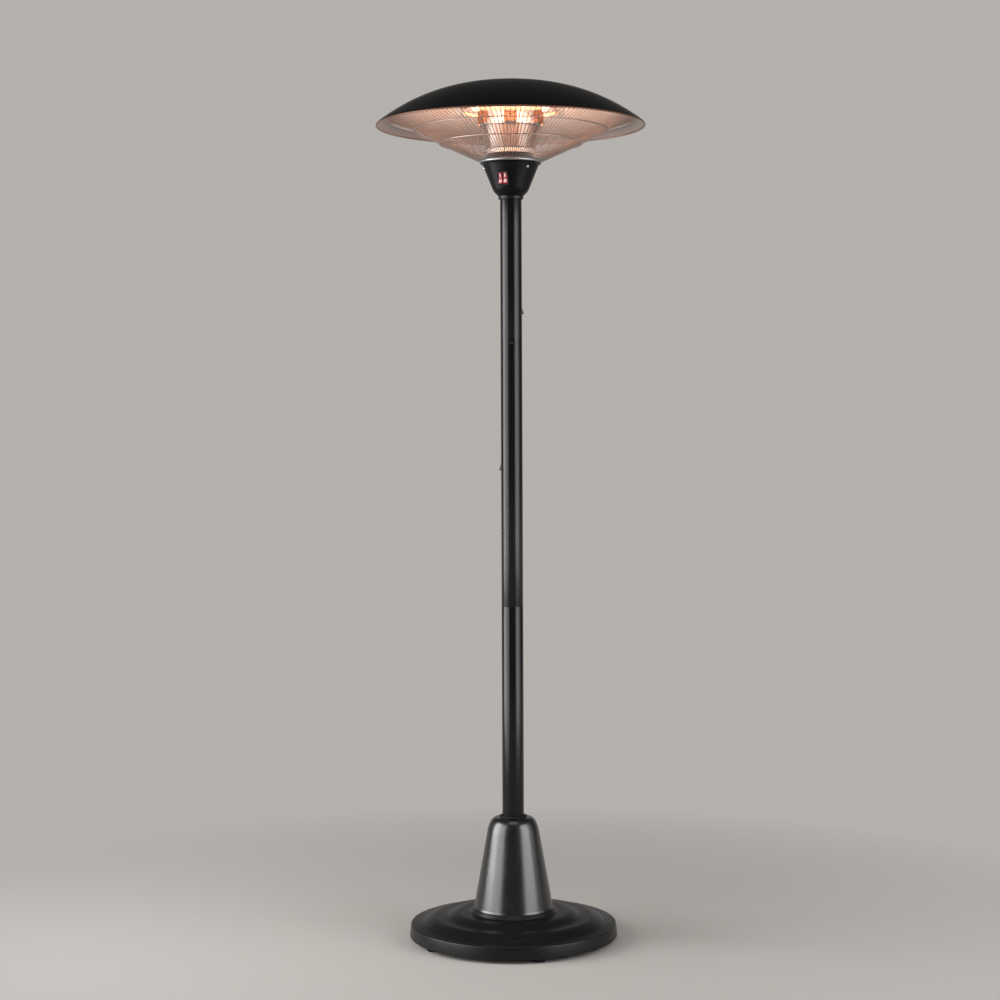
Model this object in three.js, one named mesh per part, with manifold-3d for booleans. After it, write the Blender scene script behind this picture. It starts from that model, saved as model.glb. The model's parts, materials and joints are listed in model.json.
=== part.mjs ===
// Free-standing infrared patio heater: a weighted round base, a three-piece pole and a
// domed head with three quartz lamps round a polished column, behind a cone of wires.
// Millimetres, +Z up, the front faces -Y, and the origin is on the floor under the pole.
import * as THREE from 'three';
import { mergeVertices } from 'three/addons/utils/BufferGeometryUtils.js';
import Module from 'manifold-3d';

const wasm = await Module();
wasm.setup();

// ---------- driving dimensions ----------
const seatGap = 0.3; // clearance where one piece seats on, or fits in, another
const holeReach = 1; // how far a cutting shape runs past the face that it cuts
const roundSides = 40; // facets of the base and the hood
const middleSides = 28; // facets of the bell, the housing and the column
const poleSides = 24;
const smallSides = 12;
const screwSides = 8;
const arcSegments = 8; // pieces of a drawn arc in an extruded shape
const weldDistance = 1e-4; // corners nearer than this become one
const softEdgeShare = 0.6; // share of a rubber flange's height below its slanted edge
const screwEdgeShare = 0.4; // share of a screw head's height that is upright
const screwCrownShare = 0.6; // flat top of a screw head as a share of its radius

// base
const baseRadius = 250.5; // at the foot of the rim
const rimLean = 3; // the rim's top edge is this much narrower
const rimHeight = 29.7;
const rimRound = 3.5; // rounding between the rim and the top
const groundClearance = 10; // rim's lower edge above the floor
const coverSheet = 1.5;
const lipWidth = 9.5; // the rim's lower edge is turned in under the weight
const outerFlatWidth = 26.5; // flat ring next to the rim
const outerFlatRise = 1.5;
const firstStepRise = 14.8;
const secondStepRise = 10;
const firstStepInnerShare = 0.664; // places on the way from the boss to the outer flat
const secondStepOuterShare = 0.474;
const secondStepInnerShare = 0.198;
const bossFlare = 7; // sloping edge of the raised seat of the bell cover
const bossMargin = 2; // the seat reaches this far past the bell
const bossRise = 9.7;
const stepPoints = 4; // points along each pressed step
const coverHole = 32;
const weightEdgeGap = 5.5; // radial room between the weight and the rim
const weightThickness = 8;
const hubInner = 50;
const hubOuter = 74;
const footRadius = 15;
const footEdge = 1.5; // rounded edge under a foot
const footCount = 5;
const footInset = 25.5; // centre of a foot from the base's outer edge
const footStart = 14.8; // degrees right of the front
const footStemRadius = 5;
const footStemLength = 8.5;

// pole, its foot flange and the bell cover over them
const poleRadius = 26.2;
const poleWall = 1.5;
const lowerPoleLength = 721;
const middlePoleLength = 646;
const upperPoleLength = 363;
const poleJointGap = 0.5;
const sleeveWall = 2;
const sleeveLength = 120;
const lockScrewDrop = 10; // lock screw below each joint
const lockScrewRadius = 2;
const lockScrewTip = 1; // screw past the sleeve's inside
const lockHeadRadius = 4;
const lockHeadHeight = 1.6;
const lowerLockAzimuth = 180;
const upperLockAzimuth = 0;
const flangeRadius = 78;
const flangeThickness = 5;
const spigotWall = 3.6;
const spigotHeight = 70;
const boltCount = 3;
const boltStart = 180; // degrees right of the front
const boltCircle = 62;
const boltRadius = 4;
const boltLength = 35;
const boltRunOut = 2; // depth of a bolt's hole past its tip
const boltHeadRadius = 7.5;
const boltHeadHeight = 5.5;
const boltHeadSides = 6;
const bellBottomRadius = 96;
const bellTaper = 0.1814; // radius lost per millimetre of height
const bellHeight = 216.8;
const bellShoulder = 36.8; // height of the rounded shoulder
const bellTopRadius = 40; // where the shoulder meets the flat top
const bellSheet = 1.2;
const bellHole = 29.8;
const bellCurvePoints = 4;
const grommetGap = 0.6; // grommet to pole
const grommetFlange = 33.2;
const grommetHeight = 4.4;
const grommetNeck = 4;
const grommetEdge = 2;

// cord clips behind the pole
const clipHeight = 16;
const clipPad = 14;
const clipPadThickness = 2;
const clipInner = 4.2;
const clipWall = 2;
const clipMouth = 35; // degrees to each side of the clip's opening
const lowerClipAzimuth = -131.5;
const lowerClipRise = 336; // above the middle pole's lower end
const upperClipAzimuth = 132;
const upperClipRise = 68.7; // above the upper pole's lower end

// switch housing
const poleEngagement = 25.3; // pole inside the collar and the housing
const collarRadius = 30.4;
const collarHeight = 8;
const collarGap = 0.4;
const housingBowlRadius = 45.5; // where the rounded bottom ends
const housingBowlHeight = 19.4;
const housingBulge = 41.5; // control radius of the rounded bottom
const housingBulgeHeight = 7.7;
const housingBowlPoints = 3;
const housingTopRadius = 69.5;
const housingHeight = 78.2;
const housingFlange = 73;
const housingSheet = 1.5;
const housingScrewDrop = 12.5; // below the rim
const housingScrewAzimuths = [38.7, -81.3, 158.7];
const housingScrewRadius = 1.9;
const housingScrewLength = 8;
const housingHeadRadius = 3.5;
const housingHeadHeight = 2.2;
const lidThickness = 2;
const lidBossRadius = 57.5;
const lidBossHeight = 21.7;
const lidOverhang = 0.9;
const lidEdge = 1.2;
const skirtThickness = 3;
const skirtDepth = 21.5;
const inletRise = 31; // cord inlet above the housing's bottom
const inletBossRadius = 10;
const inletFace = 58; // distance of the inlet's face from the axis
const inletDepth = 14;
const glandRadius = 7;
const glandFlange = 9.5;
const glandFlangeThickness = 4;
const glandBore = 5;
const glandDepth = 12;
const glandEdge = 1.5;
const inletSides = 16;

// switch with two rockers
const switchAzimuth = -20.6;
const switchRise = 37.8; // centre above the housing's bottom
const bezelWidth = 29;
const bezelHeight = 35;
const bezelThickness = 3;
const switchBodyWidth = 26.4;
const switchBodyHeight = 32;
const switchBodyDepth = 20;
const switchRoom = 1; // room round the body behind the housing's wall
const rockerWidth = 10.6;
const rockerHalf = 13; // half its height
const rockerPitch = 12.2; // centre to centre
const rockerTilt = 10; // degrees to each side of level
const rockerPivotDepth = 1; // pivot below the housing's surface
const rockerValley = 1; // rocker's middle above the housing's surface
const rockerDepth = 4; // rocker's body below its pivot
const rockerBody = 9; // half height of that body
const rockerDraft = 0.4; // its ends lean in this much
const rockerSlotHalf = 13.9;
const rockerSlotDepth = 7.5;

// terminal block and tip-over switch, under the lid
const terminalSize = [40, 14, 17];
const terminalBack = 40;
const tipCaseSize = [28, 18, 30];
const tipCaseX = 34;
const tipCaseWall = 1.5;
const tipPivotDrop = 5; // pivot below the case's top
const tipArm = 16.5; // pivot to the weight's centre
const tipArmRadius = 1.2;
const tipPinRadius = 1.5;
const tipWeightRadius = 5;
const tipWeightLength = 8;

// polished column and the tube through it
const columnFootRadius = 57.5;
const columnFootHeight = 11;
const columnLowRadius = 60;
const columnNeckRadius = 73;
const columnRadius = 75;
const columnBeadRise = 67.7; // bead above the column's foot
const columnBead = 1.3; // how far the bead stands out
const columnBeadHeight = 2.4;
const columnStep = 2; // step between the foot and the taper
const columnSheet = 1;
const tubeSides = 20;
const tubeRadius = 9;
const tubeWall = 2;
const tubeCollar = 14;
const tubeCollarHeight = 5;
const tubeDrop = 8; // tube below its collar
const tubeTopRise = 2.5; // tube above the hood

// hood and its lining
const rimRadius = 326; // over the rolled edge
const rimRise = 90.5; // rolled edge above the housing's rim
const apexRise = 197.5; // top of the hood above the housing's rim
const hoodSheet = 1.2;
const crownRadius = 650; // radius of curvature of the flatter middle
const crownEdge = 120; // where the middle ends
const crownPoints = 2;
const shoulderPoints = 4;
const hoodEdgeRise = 3.4; // hood's edge above the rolled edge's centre
const liningGap = 0.4;
const liningSheet = 0.8;
const rolledEdge = 2; // radius of the rolled edge
const rollPoints = 4; // corners round the rolled edge
const rollStart = 210; // degrees, where the roll leaves the lining's underside
const rollStep = 75;
const nutRadius = 13;
const nutHeight = 5.5;
const nutRoof = 2.7;
const nutEdgeShare = 0.45; // share of the nut's height that is upright
const nutCrownShare = 0.6; // place of the crown's corner, as shares of radius and height
const nutCrownHeightShare = 0.9;

// guard of wires
const wireCount = 24; // every sixth wire of the guard, which has 144
const wireRadius = 1.3;
const wireSteps = 5;
const wireSides = 3;
const ringSides = 4;
const lowerRingRadius = 72.5;
const lowerRingWire = 3.5;
const innerRingStep = 61; // from the outer middle ring
const innerRingRise = 46.4; // above the lower ring
const outerRingStep = 64.5; // from the upper ring
const outerRingRise = 78.1;
const middleRingWire = 1.5;
const upperRingInset = 28; // from the hood's edge
const upperRingWire = 2;

// lamps, their holders and brackets
const lampCount = 3;
const lampRise = 120.5; // lamp axis above the housing's rim
const lampOffset = 88; // lamp axis from the pole's axis
const quartzRadius = 5.5;
const quartzWall = 1.2;
const quartzLength = 160;
const quartzInHolder = 4;
const filamentRadius = 1.6;
const filamentPin = 1;
const filamentHalf = 74;
const filamentSides = 8;
const holderSize = [22, 16, 18]; // along the lamp, across it, and upwards
const holderPinDepth = 14;
const bracketWidth = 31;
const bracketSheet = 1.5;
const bracketFace = 83; // outer face of a corner bracket from the axis
const restFace = 82; // outer face of a lamp rest from the axis
const bracketDrop = 28; // brackets' lower edge below the lamp axis
const restLipWidth = 11;
const restRise = 2; // rest's upper edge above the lamp axis
const armReach = 128;
const armWing = 30; // length of the arm's wide end
const armSpread = 27; // its corners past the bracket's sides
const armTip = 19;

// ---------- places worked out from the sizes above ----------
const rad = Math.PI / 180;
const bossRadius = bellBottomRadius + bossMargin;
const bossOuter = bossRadius + bossFlare;
const outerFlatInner = baseRadius - rimLean - outerFlatWidth;
const pressSpan = outerFlatInner - bossOuter;
const firstStepInner = bossOuter + pressSpan * firstStepInnerShare;
const secondStepOuter = bossOuter + pressSpan * secondStepOuterShare;
const secondStepInner = bossOuter + pressSpan * secondStepInnerShare;
const footCircle = baseRadius - footInset;
const upperRingRadius = rimRadius - upperRingInset;
const outerRingRadius = upperRingRadius - outerRingStep;
const innerRingRadius = outerRingRadius - innerRingStep;
const rimTop = groundClearance + rimHeight;
const outerFlatTop = rimTop + outerFlatRise;
const firstStepTop = outerFlatTop + firstStepRise;
const secondStepTop = firstStepTop + secondStepRise;
const bossTop = secondStepTop + bossRise;
const weightBottom = groundClearance + coverSheet + seatGap;
const weightTop = weightBottom + weightThickness;
const flangeBottom = bossTop + seatGap;
const flangeTop = flangeBottom + flangeThickness;
const lowerPoleBottom = flangeTop + seatGap;
const lowerPoleTop = lowerPoleBottom + lowerPoleLength;
const middlePoleBottom = lowerPoleTop + poleJointGap;
const middlePoleTop = middlePoleBottom + middlePoleLength;
const upperPoleBottom = middlePoleTop + poleJointGap;
const upperPoleTop = upperPoleBottom + upperPoleLength;
const bellBottom = bossTop + seatGap;
const bellTop = bellBottom + bellHeight;
const lowerClipZ = middlePoleBottom + lowerClipRise;
const upperClipZ = upperPoleBottom + upperClipRise;
const sleeveRadius = poleRadius - poleWall - seatGap;
const collarBottom = upperPoleTop - poleEngagement;
const housingBottom = collarBottom + collarHeight + seatGap;
const housingTop = housingBottom + housingHeight;
const housingLean = Math.atan(
	(housingTopRadius - housingBowlRadius) / (housingHeight - housingBowlHeight));
const lidTop = housingTop + lidBossHeight;
const lidRoof = lidTop - lidThickness; // underside of the lid's raised middle
const columnBottom = lidTop + seatGap;
const hoodTop = housingTop + apexRise;
const rimZ = housingTop + rimRise;
const lowerRingZ = housingTop + seatGap + lowerRingWire;
const lampZ = housingTop + lampRise;

// ---------- helpers ----------
// A geometry as a closed solid, and back.
function toSolid(geometry) {
	const bare = new THREE.BufferGeometry();
	const plain = geometry.index ? geometry.toNonIndexed() : geometry;
	bare.setAttribute('position', plain.getAttribute('position').clone());
	const merged = mergeVertices(bare, weldDistance);
	return new wasm.Manifold(new wasm.Mesh({
		numProp: 3,
		vertProperties: new Float32Array(merged.attributes.position.array),
		triVerts: new Uint32Array(merged.index.array),
	}));
}

function toGeometry(solid) {
	const mesh = solid.getMesh();
	const geometry = new THREE.BufferGeometry();
	geometry.setAttribute('position', new THREE.BufferAttribute(new Float32Array(mesh.vertProperties), 3));
	geometry.setIndex(new THREE.BufferAttribute(new Uint32Array(mesh.triVerts), 1));
	return geometry;
}

function join(...geometries) {
	return toGeometry(geometries.map(toSolid).reduce((all, next) => all.add(next)));
}

function cut(geometry, ...tools) {
	return toGeometry(tools.map(toSolid).reduce((rest, tool) => rest.subtract(tool), toSolid(geometry)));
}

// A solid of revolution about Z from an outline of [radius, height] points.
function revolve(outline, sides) {
	const loop = outline[0][0] === 0 ? outline : [...outline, outline[0]];
	let area = 0;
	loop.forEach(([r, z], i) => {
		const [nextR, nextZ] = loop[(i + 1) % loop.length];
		area += r * nextZ - nextR * z;
	});
	const points = loop.map(([r, z]) => new THREE.Vector2(r, z));
	if (area < 0) points.reverse();
	return new THREE.LatheGeometry(points, sides).rotateX(Math.PI / 2);
}

// The outline moved to its right-hand side by a distance, as seen along its direction.
function offsetOutline(outline, distance) {
	return outline.map(([r, z], i) => {
		const before = outline[Math.max(i - 1, 0)];
		const after = outline[Math.min(i + 1, outline.length - 1)];
		const normals = [[before, [r, z]], [[r, z], after]]
			.map(([from, to]) => new THREE.Vector2(to[1] - from[1], from[0] - to[0]))
			.filter((normal) => normal.length() > 0)
			.map((normal) => normal.normalize());
		const mean = normals.reduce((sum, normal) => sum.add(normal), new THREE.Vector2()).normalize();
		const reach = distance / mean.dot(normals[normals.length - 1].clone().normalize());
		return [r + mean.x * reach, z + mean.y * reach];
	});
}

// A pressed sheet whose outer face follows the outline.
function sheet(outline, thickness, sides) {
	const inner = offsetOutline(outline, thickness);
	return revolve([...outline, ...inner.reverse()], sides);
}

function tube(outer, inner, bottom, top, sides) {
	return revolve([[outer, bottom], [outer, top], [inner, top], [inner, bottom]], sides);
}

function post(radius, bottom, top, x = 0, y = 0, sides = smallSides) {
	return revolve([[0, bottom], [radius, bottom], [radius, top], [0, top]], sides).translate(x, y, 0);
}

function box(x0, x1, y0, y1, z0, z1) {
	return new THREE.BoxGeometry(x1 - x0, y1 - y0, z1 - z0)
		.translate((x0 + x1) / 2, (y0 + y1) / 2, (z0 + z1) / 2);
}

function polygon(points) {
	return new THREE.Shape(points.map(([x, y]) => new THREE.Vector2(x, y)));
}

function prism(shape, bottom, top) {
	const settings = { depth: top - bottom, bevelEnabled: false, curveSegments: arcSegments };
	return new THREE.ExtrudeGeometry(shape, settings).translate(0, 0, bottom);
}

// A place on the outside: X runs to the right, Y up the surface and Z straight out of it.
// Azimuth 0 is the front, and it grows to the right.
function outsideFrame(azimuth, radius, z, lean = 0) {
	const a = azimuth * rad;
	const out = new THREE.Vector3(Math.sin(a), -Math.cos(a), 0);
	const right = new THREE.Vector3(Math.cos(a), Math.sin(a), 0);
	const up = new THREE.Vector3(0, 0, 1);
	const along = out.clone().multiplyScalar(Math.sin(lean)).addScaledVector(up, Math.cos(lean));
	const normal = out.clone().multiplyScalar(Math.cos(lean)).addScaledVector(up, -Math.sin(lean));
	const matrix = new THREE.Matrix4().makeBasis(right, along, normal);
	return matrix.setPosition(out.multiplyScalar(radius).setZ(z));
}

// Turns a shape drawn across X and Y and extruded along Z: first letter is where X goes.
const acrossYZ = new THREE.Matrix4().makeBasis(
	new THREE.Vector3(0, 1, 0), new THREE.Vector3(0, 0, 1), new THREE.Vector3(1, 0, 0));
const acrossXZ = new THREE.Matrix4().makeBasis(
	new THREE.Vector3(1, 0, 0), new THREE.Vector3(0, 0, 1), new THREE.Vector3(0, -1, 0));

// ---------- finishes ----------
const finishes = {
	gloss_black: [0x0d0d0e, 0.16, 0],
	satin_black: [0x161617, 0.42, 0],
	rubber: [0x111111, 0.9, 0],
	cast_iron: [0x3a3a3c, 0.8, 0.4],
	plated_steel: [0xa8abb0, 0.35, 1],
	polished_steel: [0xd9dadd, 0.08, 1],
	wire_steel: [0xc4c4c8, 0.25, 1],
	lining: [0xb9bcc2, 0.3, 0.9],
	quartz: [0xfff1e0, 0.05, 0],
	filament: [0xff8a3c, 0.5, 0.6],
	ceramic: [0xe9e4d8, 0.6, 0],
	red_plastic: [0xb01822, 0.3, 0],
	black_plastic: [0x1a1a1b, 0.5, 0],
	brass: [0xb08d4a, 0.35, 1],
};

const heater = new THREE.Group();

function add(name, geometry, finish, parent = heater) {
	const [color, roughness, metalness] = finishes[finish];
	const mesh = new THREE.Mesh(geometry, new THREE.MeshStandardMaterial({ color, roughness, metalness }));
	mesh.name = name;
	parent.add(mesh);
	return mesh;
}

function groupAt(matrix) {
	const group = new THREE.Group();
	group.applyMatrix4(matrix);
	heater.add(group);
	return group;
}

function around(count, radius, start, each) {
	for (let i = 0; i < count; i++) {
		const a = (start + (360 / count) * i) * rad;
		each(radius * Math.sin(a), -radius * Math.cos(a), i);
	}
}

// ---------- base ----------
// A pressed step: steepest at its outer foot and level at its inner crest.
function pressedStep(outer, inner, low, high) {
	return Array.from({ length: stepPoints + 1 }, (_, i) => {
		const share = 1 - i / stepPoints;
		return [outer + (inner - outer) * share, low + (high - low) * Math.sin(share * Math.PI / 2)];
	});
}

function boltHoles(radius, bottom, top) {
	const tools = [];
	around(boltCount, boltCircle, boltStart, (x, y) => tools.push(post(radius, bottom, top, x, y)));
	return tools;
}

function baseCover() {
	const rimTopRadius = baseRadius - rimLean;
	const outline = [
		[coverHole, bossTop],
		[bossRadius, bossTop],
		[bossOuter, secondStepTop],
		...pressedStep(secondStepOuter, secondStepInner, firstStepTop, secondStepTop),
		...pressedStep(outerFlatInner, firstStepInner, outerFlatTop, firstStepTop),
		[rimTopRadius - rimRound, rimTop],
		[rimTopRadius, rimTop - rimRound],
		[baseRadius, groundClearance],
		[baseRadius - lipWidth, groundClearance],
	];
	const holes = boltHoles(boltRadius + 2 * seatGap, bossTop - 2 * coverSheet, bossTop + coverSheet);
	add('base_cover', cut(sheet(outline, coverSheet, roundSides), ...holes), 'satin_black');
}

function baseWeight() {
	const edge = baseRadius - weightEdgeGap;
	const hubTop = bossTop - coverSheet - seatGap;
	const body = revolve([
		[hubInner, weightBottom], [edge, weightBottom], [edge, weightTop],
		[hubOuter, weightTop], [hubOuter, hubTop], [hubInner, hubTop],
	], roundSides);
	const holes = boltHoles(boltRadius + seatGap, flangeTop - boltLength - boltRunOut, hubTop + holeReach);
	around(footCount, footCircle, footStart, (x, y) => holes.push(
		post(footStemRadius + seatGap, weightBottom - holeReach, weightTop + holeReach, x, y)));
	add('base_weight', cut(body, ...holes), 'cast_iron');
}

function feet() {
	const top = weightBottom - seatGap;
	const outline = [
		[0, 0], [footRadius - footEdge, 0], [footRadius, footEdge], [footRadius, top],
		[footStemRadius, top], [footStemRadius, top + footStemLength], [0, top + footStemLength],
	];
	around(footCount, footCircle, footStart, (x, y, i) => {
		add(`foot_${i + 1}`, revolve(outline, smallSides), 'rubber').position.set(x, y, 0);
	});
}

// ---------- pole ----------
function poleFlange() {
	const bore = sleeveRadius - spigotWall;
	const body = revolve([
		[bore, flangeBottom], [flangeRadius, flangeBottom], [flangeRadius, flangeTop],
		[sleeveRadius, flangeTop], [sleeveRadius, flangeTop + spigotHeight], [bore, flangeTop + spigotHeight],
	], poleSides);
	const holes = boltHoles(boltRadius + 2 * seatGap, flangeBottom - holeReach, flangeTop + holeReach);
	add('pole_flange', cut(body, ...holes), 'plated_steel');
}

function flangeBolts() {
	const under = flangeTop + seatGap;
	const bolt = join(
		post(boltRadius, flangeTop - boltLength, under + boltHeadHeight / 2),
		post(boltHeadRadius, under, under + boltHeadHeight, 0, 0, boltHeadSides));
	around(boltCount, boltCircle, boltStart, (x, y, i) => {
		add(`flange_bolt_${i + 1}`, bolt, 'plated_steel').position.set(x, y, 0);
	});
}

// A screw with a domed head that seats on the surface at height 0.
function screwOutline(radius, length, headRadius, headHeight) {
	return [
		[0, -length], [radius, -length], [radius, seatGap], [headRadius, seatGap],
		[headRadius, seatGap + headHeight * screwEdgeShare],
		[headRadius * screwCrownShare, seatGap + headHeight], [0, seatGap + headHeight],
	];
}

// A hole for a lock screw, drilled through the side towards the front or the back.
function lockHole(z, azimuth) {
	return post(lockScrewRadius + seatGap, -poleRadius / 2, holeReach)
		.applyMatrix4(outsideFrame(azimuth, poleRadius, z));
}

function poleSection(name, bottom, top, ...holes) {
	const body = tube(poleRadius, poleRadius - poleWall, bottom, top, poleSides);
	add(name, holes.length ? cut(body, ...holes) : body, 'gloss_black');
}

function sleeve(name, middle, hole) {
	const body = tube(sleeveRadius, sleeveRadius - sleeveWall,
		middle - sleeveLength / 2, middle + sleeveLength / 2, poleSides);
	add(name, cut(body, hole), 'plated_steel');
}

function lockScrew(name, z, azimuth) {
	const outline = screwOutline(lockScrewRadius, poleWall + sleeveWall + lockScrewTip,
		lockHeadRadius, lockHeadHeight);
	add(name, revolve(outline, screwSides), 'satin_black', groupAt(outsideFrame(azimuth, poleRadius, z)));
}

function pole() {
	const lowerLock = lowerPoleTop - lockScrewDrop;
	const upperLock = middlePoleTop - lockScrewDrop;
	poleFlange();
	flangeBolts();
	poleSection('pole_lower', lowerPoleBottom, lowerPoleTop, lockHole(lowerLock, lowerLockAzimuth));
	poleSection('pole_middle', middlePoleBottom, middlePoleTop, lockHole(upperLock, upperLockAzimuth));
	poleSection('pole_upper', upperPoleBottom, upperPoleTop);
	sleeve('joint_sleeve_lower', (lowerPoleTop + middlePoleBottom) / 2, lockHole(lowerLock, lowerLockAzimuth));
	sleeve('joint_sleeve_upper', (middlePoleTop + upperPoleBottom) / 2, lockHole(upperLock, upperLockAzimuth));
	lockScrew('lock_screw_lower', lowerLock, lowerLockAzimuth);
	lockScrew('lock_screw_upper', upperLock, upperLockAzimuth);
}

function bellCover() {
	const wallRadius = (z) => bellBottomRadius - bellTaper * (z - bellBottom);
	const shoulderZ = bellTop - bellShoulder;
	const curve = new THREE.QuadraticBezierCurve(
		new THREE.Vector2(bellTopRadius, bellTop),
		new THREE.Vector2(wallRadius(bellTop), bellTop),
		new THREE.Vector2(wallRadius(shoulderZ), shoulderZ));
	const outline = [
		[bellHole, bellTop],
		...curve.getPoints(bellCurvePoints).map((p) => [p.x, p.y]),
		[bellBottomRadius, bellBottom],
	];
	add('bell_cover', sheet(outline, bellSheet, middleSides), 'gloss_black');
	const bore = poleRadius + grommetGap;
	const neck = bellHole - seatGap;
	const seat = bellTop + seatGap;
	add('bell_grommet', revolve([
		[bore, bellTop - grommetNeck], [neck, bellTop - grommetNeck], [neck, seat],
		[grommetFlange, seat], [grommetFlange, seat + grommetHeight * softEdgeShare],
		[grommetFlange - grommetEdge, seat + grommetHeight], [bore, seat + grommetHeight],
	], poleSides), 'rubber');
}

function cordClip(name, azimuth, z) {
	const centre = seatGap + clipPadThickness + clipInner;
	const ring = new THREE.Shape();
	const start = Math.PI / 2 + clipMouth * rad;
	const end = 5 * Math.PI / 2 - clipMouth * rad;
	ring.absarc(0, centre, clipInner + clipWall, start, end, false);
	ring.absarc(0, centre, clipInner, end, start, true);
	const pad = polygon([
		[-clipPad / 2, seatGap], [clipPad / 2, seatGap],
		[clipPad / 2, seatGap + clipPadThickness], [-clipPad / 2, seatGap + clipPadThickness],
	]);
	const geometry = join(prism(ring, -clipHeight / 2, clipHeight / 2),
		prism(pad, -clipHeight / 2, clipHeight / 2)).applyMatrix4(acrossXZ);
	add(name, geometry, 'black_plastic', groupAt(outsideFrame(azimuth, poleRadius, z)));
}

// ---------- switch housing ----------
// Radius of the housing's straight wall at a height.
function housingRadius(z) {
	return housingTopRadius - (housingTop - z) * Math.tan(housingLean);
}

function housingFrame(azimuth, z) {
	return outsideFrame(azimuth, housingRadius(z), z, housingLean);
}

function housingScrewHoles(radius) {
	const z = housingTop - housingScrewDrop;
	return housingScrewAzimuths.map((azimuth) => (
		post(radius, -housingScrewLength - holeReach, holeReach).applyMatrix4(housingFrame(azimuth, z))));
}

function switchHousing() {
	const bowl = new THREE.QuadraticBezierCurve(
		new THREE.Vector2(housingBowlRadius, housingBottom + housingBowlHeight),
		new THREE.Vector2(housingBulge, housingBottom + housingBulgeHeight),
		new THREE.Vector2(collarRadius, housingBottom));
	const outline = [
		[housingFlange, housingTop - housingSheet],
		[housingRadius(housingTop - 2 * housingSheet), housingTop - 2 * housingSheet],
		...bowl.getPoints(housingBowlPoints).map((p) => [p.x, p.y]),
		[poleRadius + collarGap, housingBottom],
	];
	const inside = offsetOutline(outline.slice(1), housingSheet).reverse();
	const flangeInner = housingTopRadius - housingSheet - seatGap / 2;
	const shell = revolve([
		[housingFlange, housingTop], ...outline, ...inside, [flangeInner, housingTop],
	], middleSides);
	const inletZ = housingBottom + inletRise;
	const alongY = (geometry) => geometry.rotateX(-Math.PI / 2).translate(0, 0, inletZ);
	const boss = alongY(post(inletBossRadius, inletFace - inletDepth, inletFace, 0, 0, inletSides));
	const bore = alongY(post(glandRadius + seatGap, inletFace - 2 * inletDepth, inletFace + holeReach,
		0, 0, inletSides));
	const opening = box(
		-switchBodyWidth / 2 - seatGap, switchBodyWidth / 2 + seatGap,
		-switchBodyHeight / 2 - seatGap, switchBodyHeight / 2 + seatGap,
		-switchBodyDepth, bezelThickness).applyMatrix4(housingFrame(switchAzimuth, housingBottom + switchRise));
	add('switch_housing', cut(join(shell, boss), bore, opening,
		...housingScrewHoles(housingScrewRadius + seatGap)), 'gloss_black');
	add('neck_collar', tube(collarRadius, poleRadius + collarGap, collarBottom,
		collarBottom + collarHeight, poleSides), 'satin_black');
	const gland = revolve([
		[glandBore, inletFace - glandDepth], [glandRadius, inletFace - glandDepth],
		[glandRadius, inletFace + seatGap], [glandFlange, inletFace + seatGap],
		[glandFlange, inletFace + seatGap + glandFlangeThickness * softEdgeShare],
		[glandFlange - glandEdge, inletFace + seatGap + glandFlangeThickness],
		[glandBore, inletFace + seatGap + glandFlangeThickness],
	], inletSides);
	add('cord_gland', alongY(gland), 'black_plastic');
}

function housingLid() {
	const skirtOuter = (z) => housingRadius(z) - (housingSheet + seatGap) / Math.cos(housingLean);
	const skirtInner = (z) => skirtOuter(z) - skirtThickness / Math.cos(housingLean);
	const plateBottom = housingTop + seatGap;
	const plateTop = plateBottom + lidThickness;
	const skirtBottom = housingTop - skirtDepth;
	const bore = tubeRadius + seatGap;
	const neck = housingTop - 2 * housingSheet;
	const body = revolve([
		[bore, lidRoof], [lidBossRadius - lidThickness, lidRoof],
		[lidBossRadius - lidThickness, neck], [skirtInner(neck), neck],
		[skirtInner(skirtBottom), skirtBottom], [skirtOuter(skirtBottom), skirtBottom],
		[skirtOuter(neck), neck], [skirtOuter(neck), plateBottom],
		[housingTopRadius - lidOverhang, plateBottom], [housingTopRadius - lidOverhang, plateTop],
		[lidBossRadius, plateTop], [lidBossRadius, lidTop - lidEdge],
		[lidBossRadius - lidEdge, lidTop], [bore, lidTop],
	], middleSides);
	const holes = housingScrewHoles(housingScrewRadius + seatGap);
	// Keeps the skirt off the switch's body when the switch sits high on the wall.
	const openingClear = box(
		-switchBodyWidth / 2 - switchRoom, switchBodyWidth / 2 + switchRoom,
		-switchBodyHeight / 2 - switchRoom, switchBodyHeight / 2 + switchRoom,
		-switchBodyDepth, bezelThickness).applyMatrix4(housingFrame(switchAzimuth, housingBottom + switchRise));
	add('housing_lid', cut(body, openingClear, ...holes), 'black_plastic');
}

function housingScrews() {
	const z = housingTop - housingScrewDrop;
	const outline = screwOutline(housingScrewRadius, housingScrewLength, housingHeadRadius, housingHeadHeight);
	housingScrewAzimuths.forEach((azimuth, i) => {
		add(`housing_screw_${i + 1}`, revolve(outline, screwSides), 'plated_steel',
			groupAt(housingFrame(azimuth, z)));
	});
}

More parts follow.
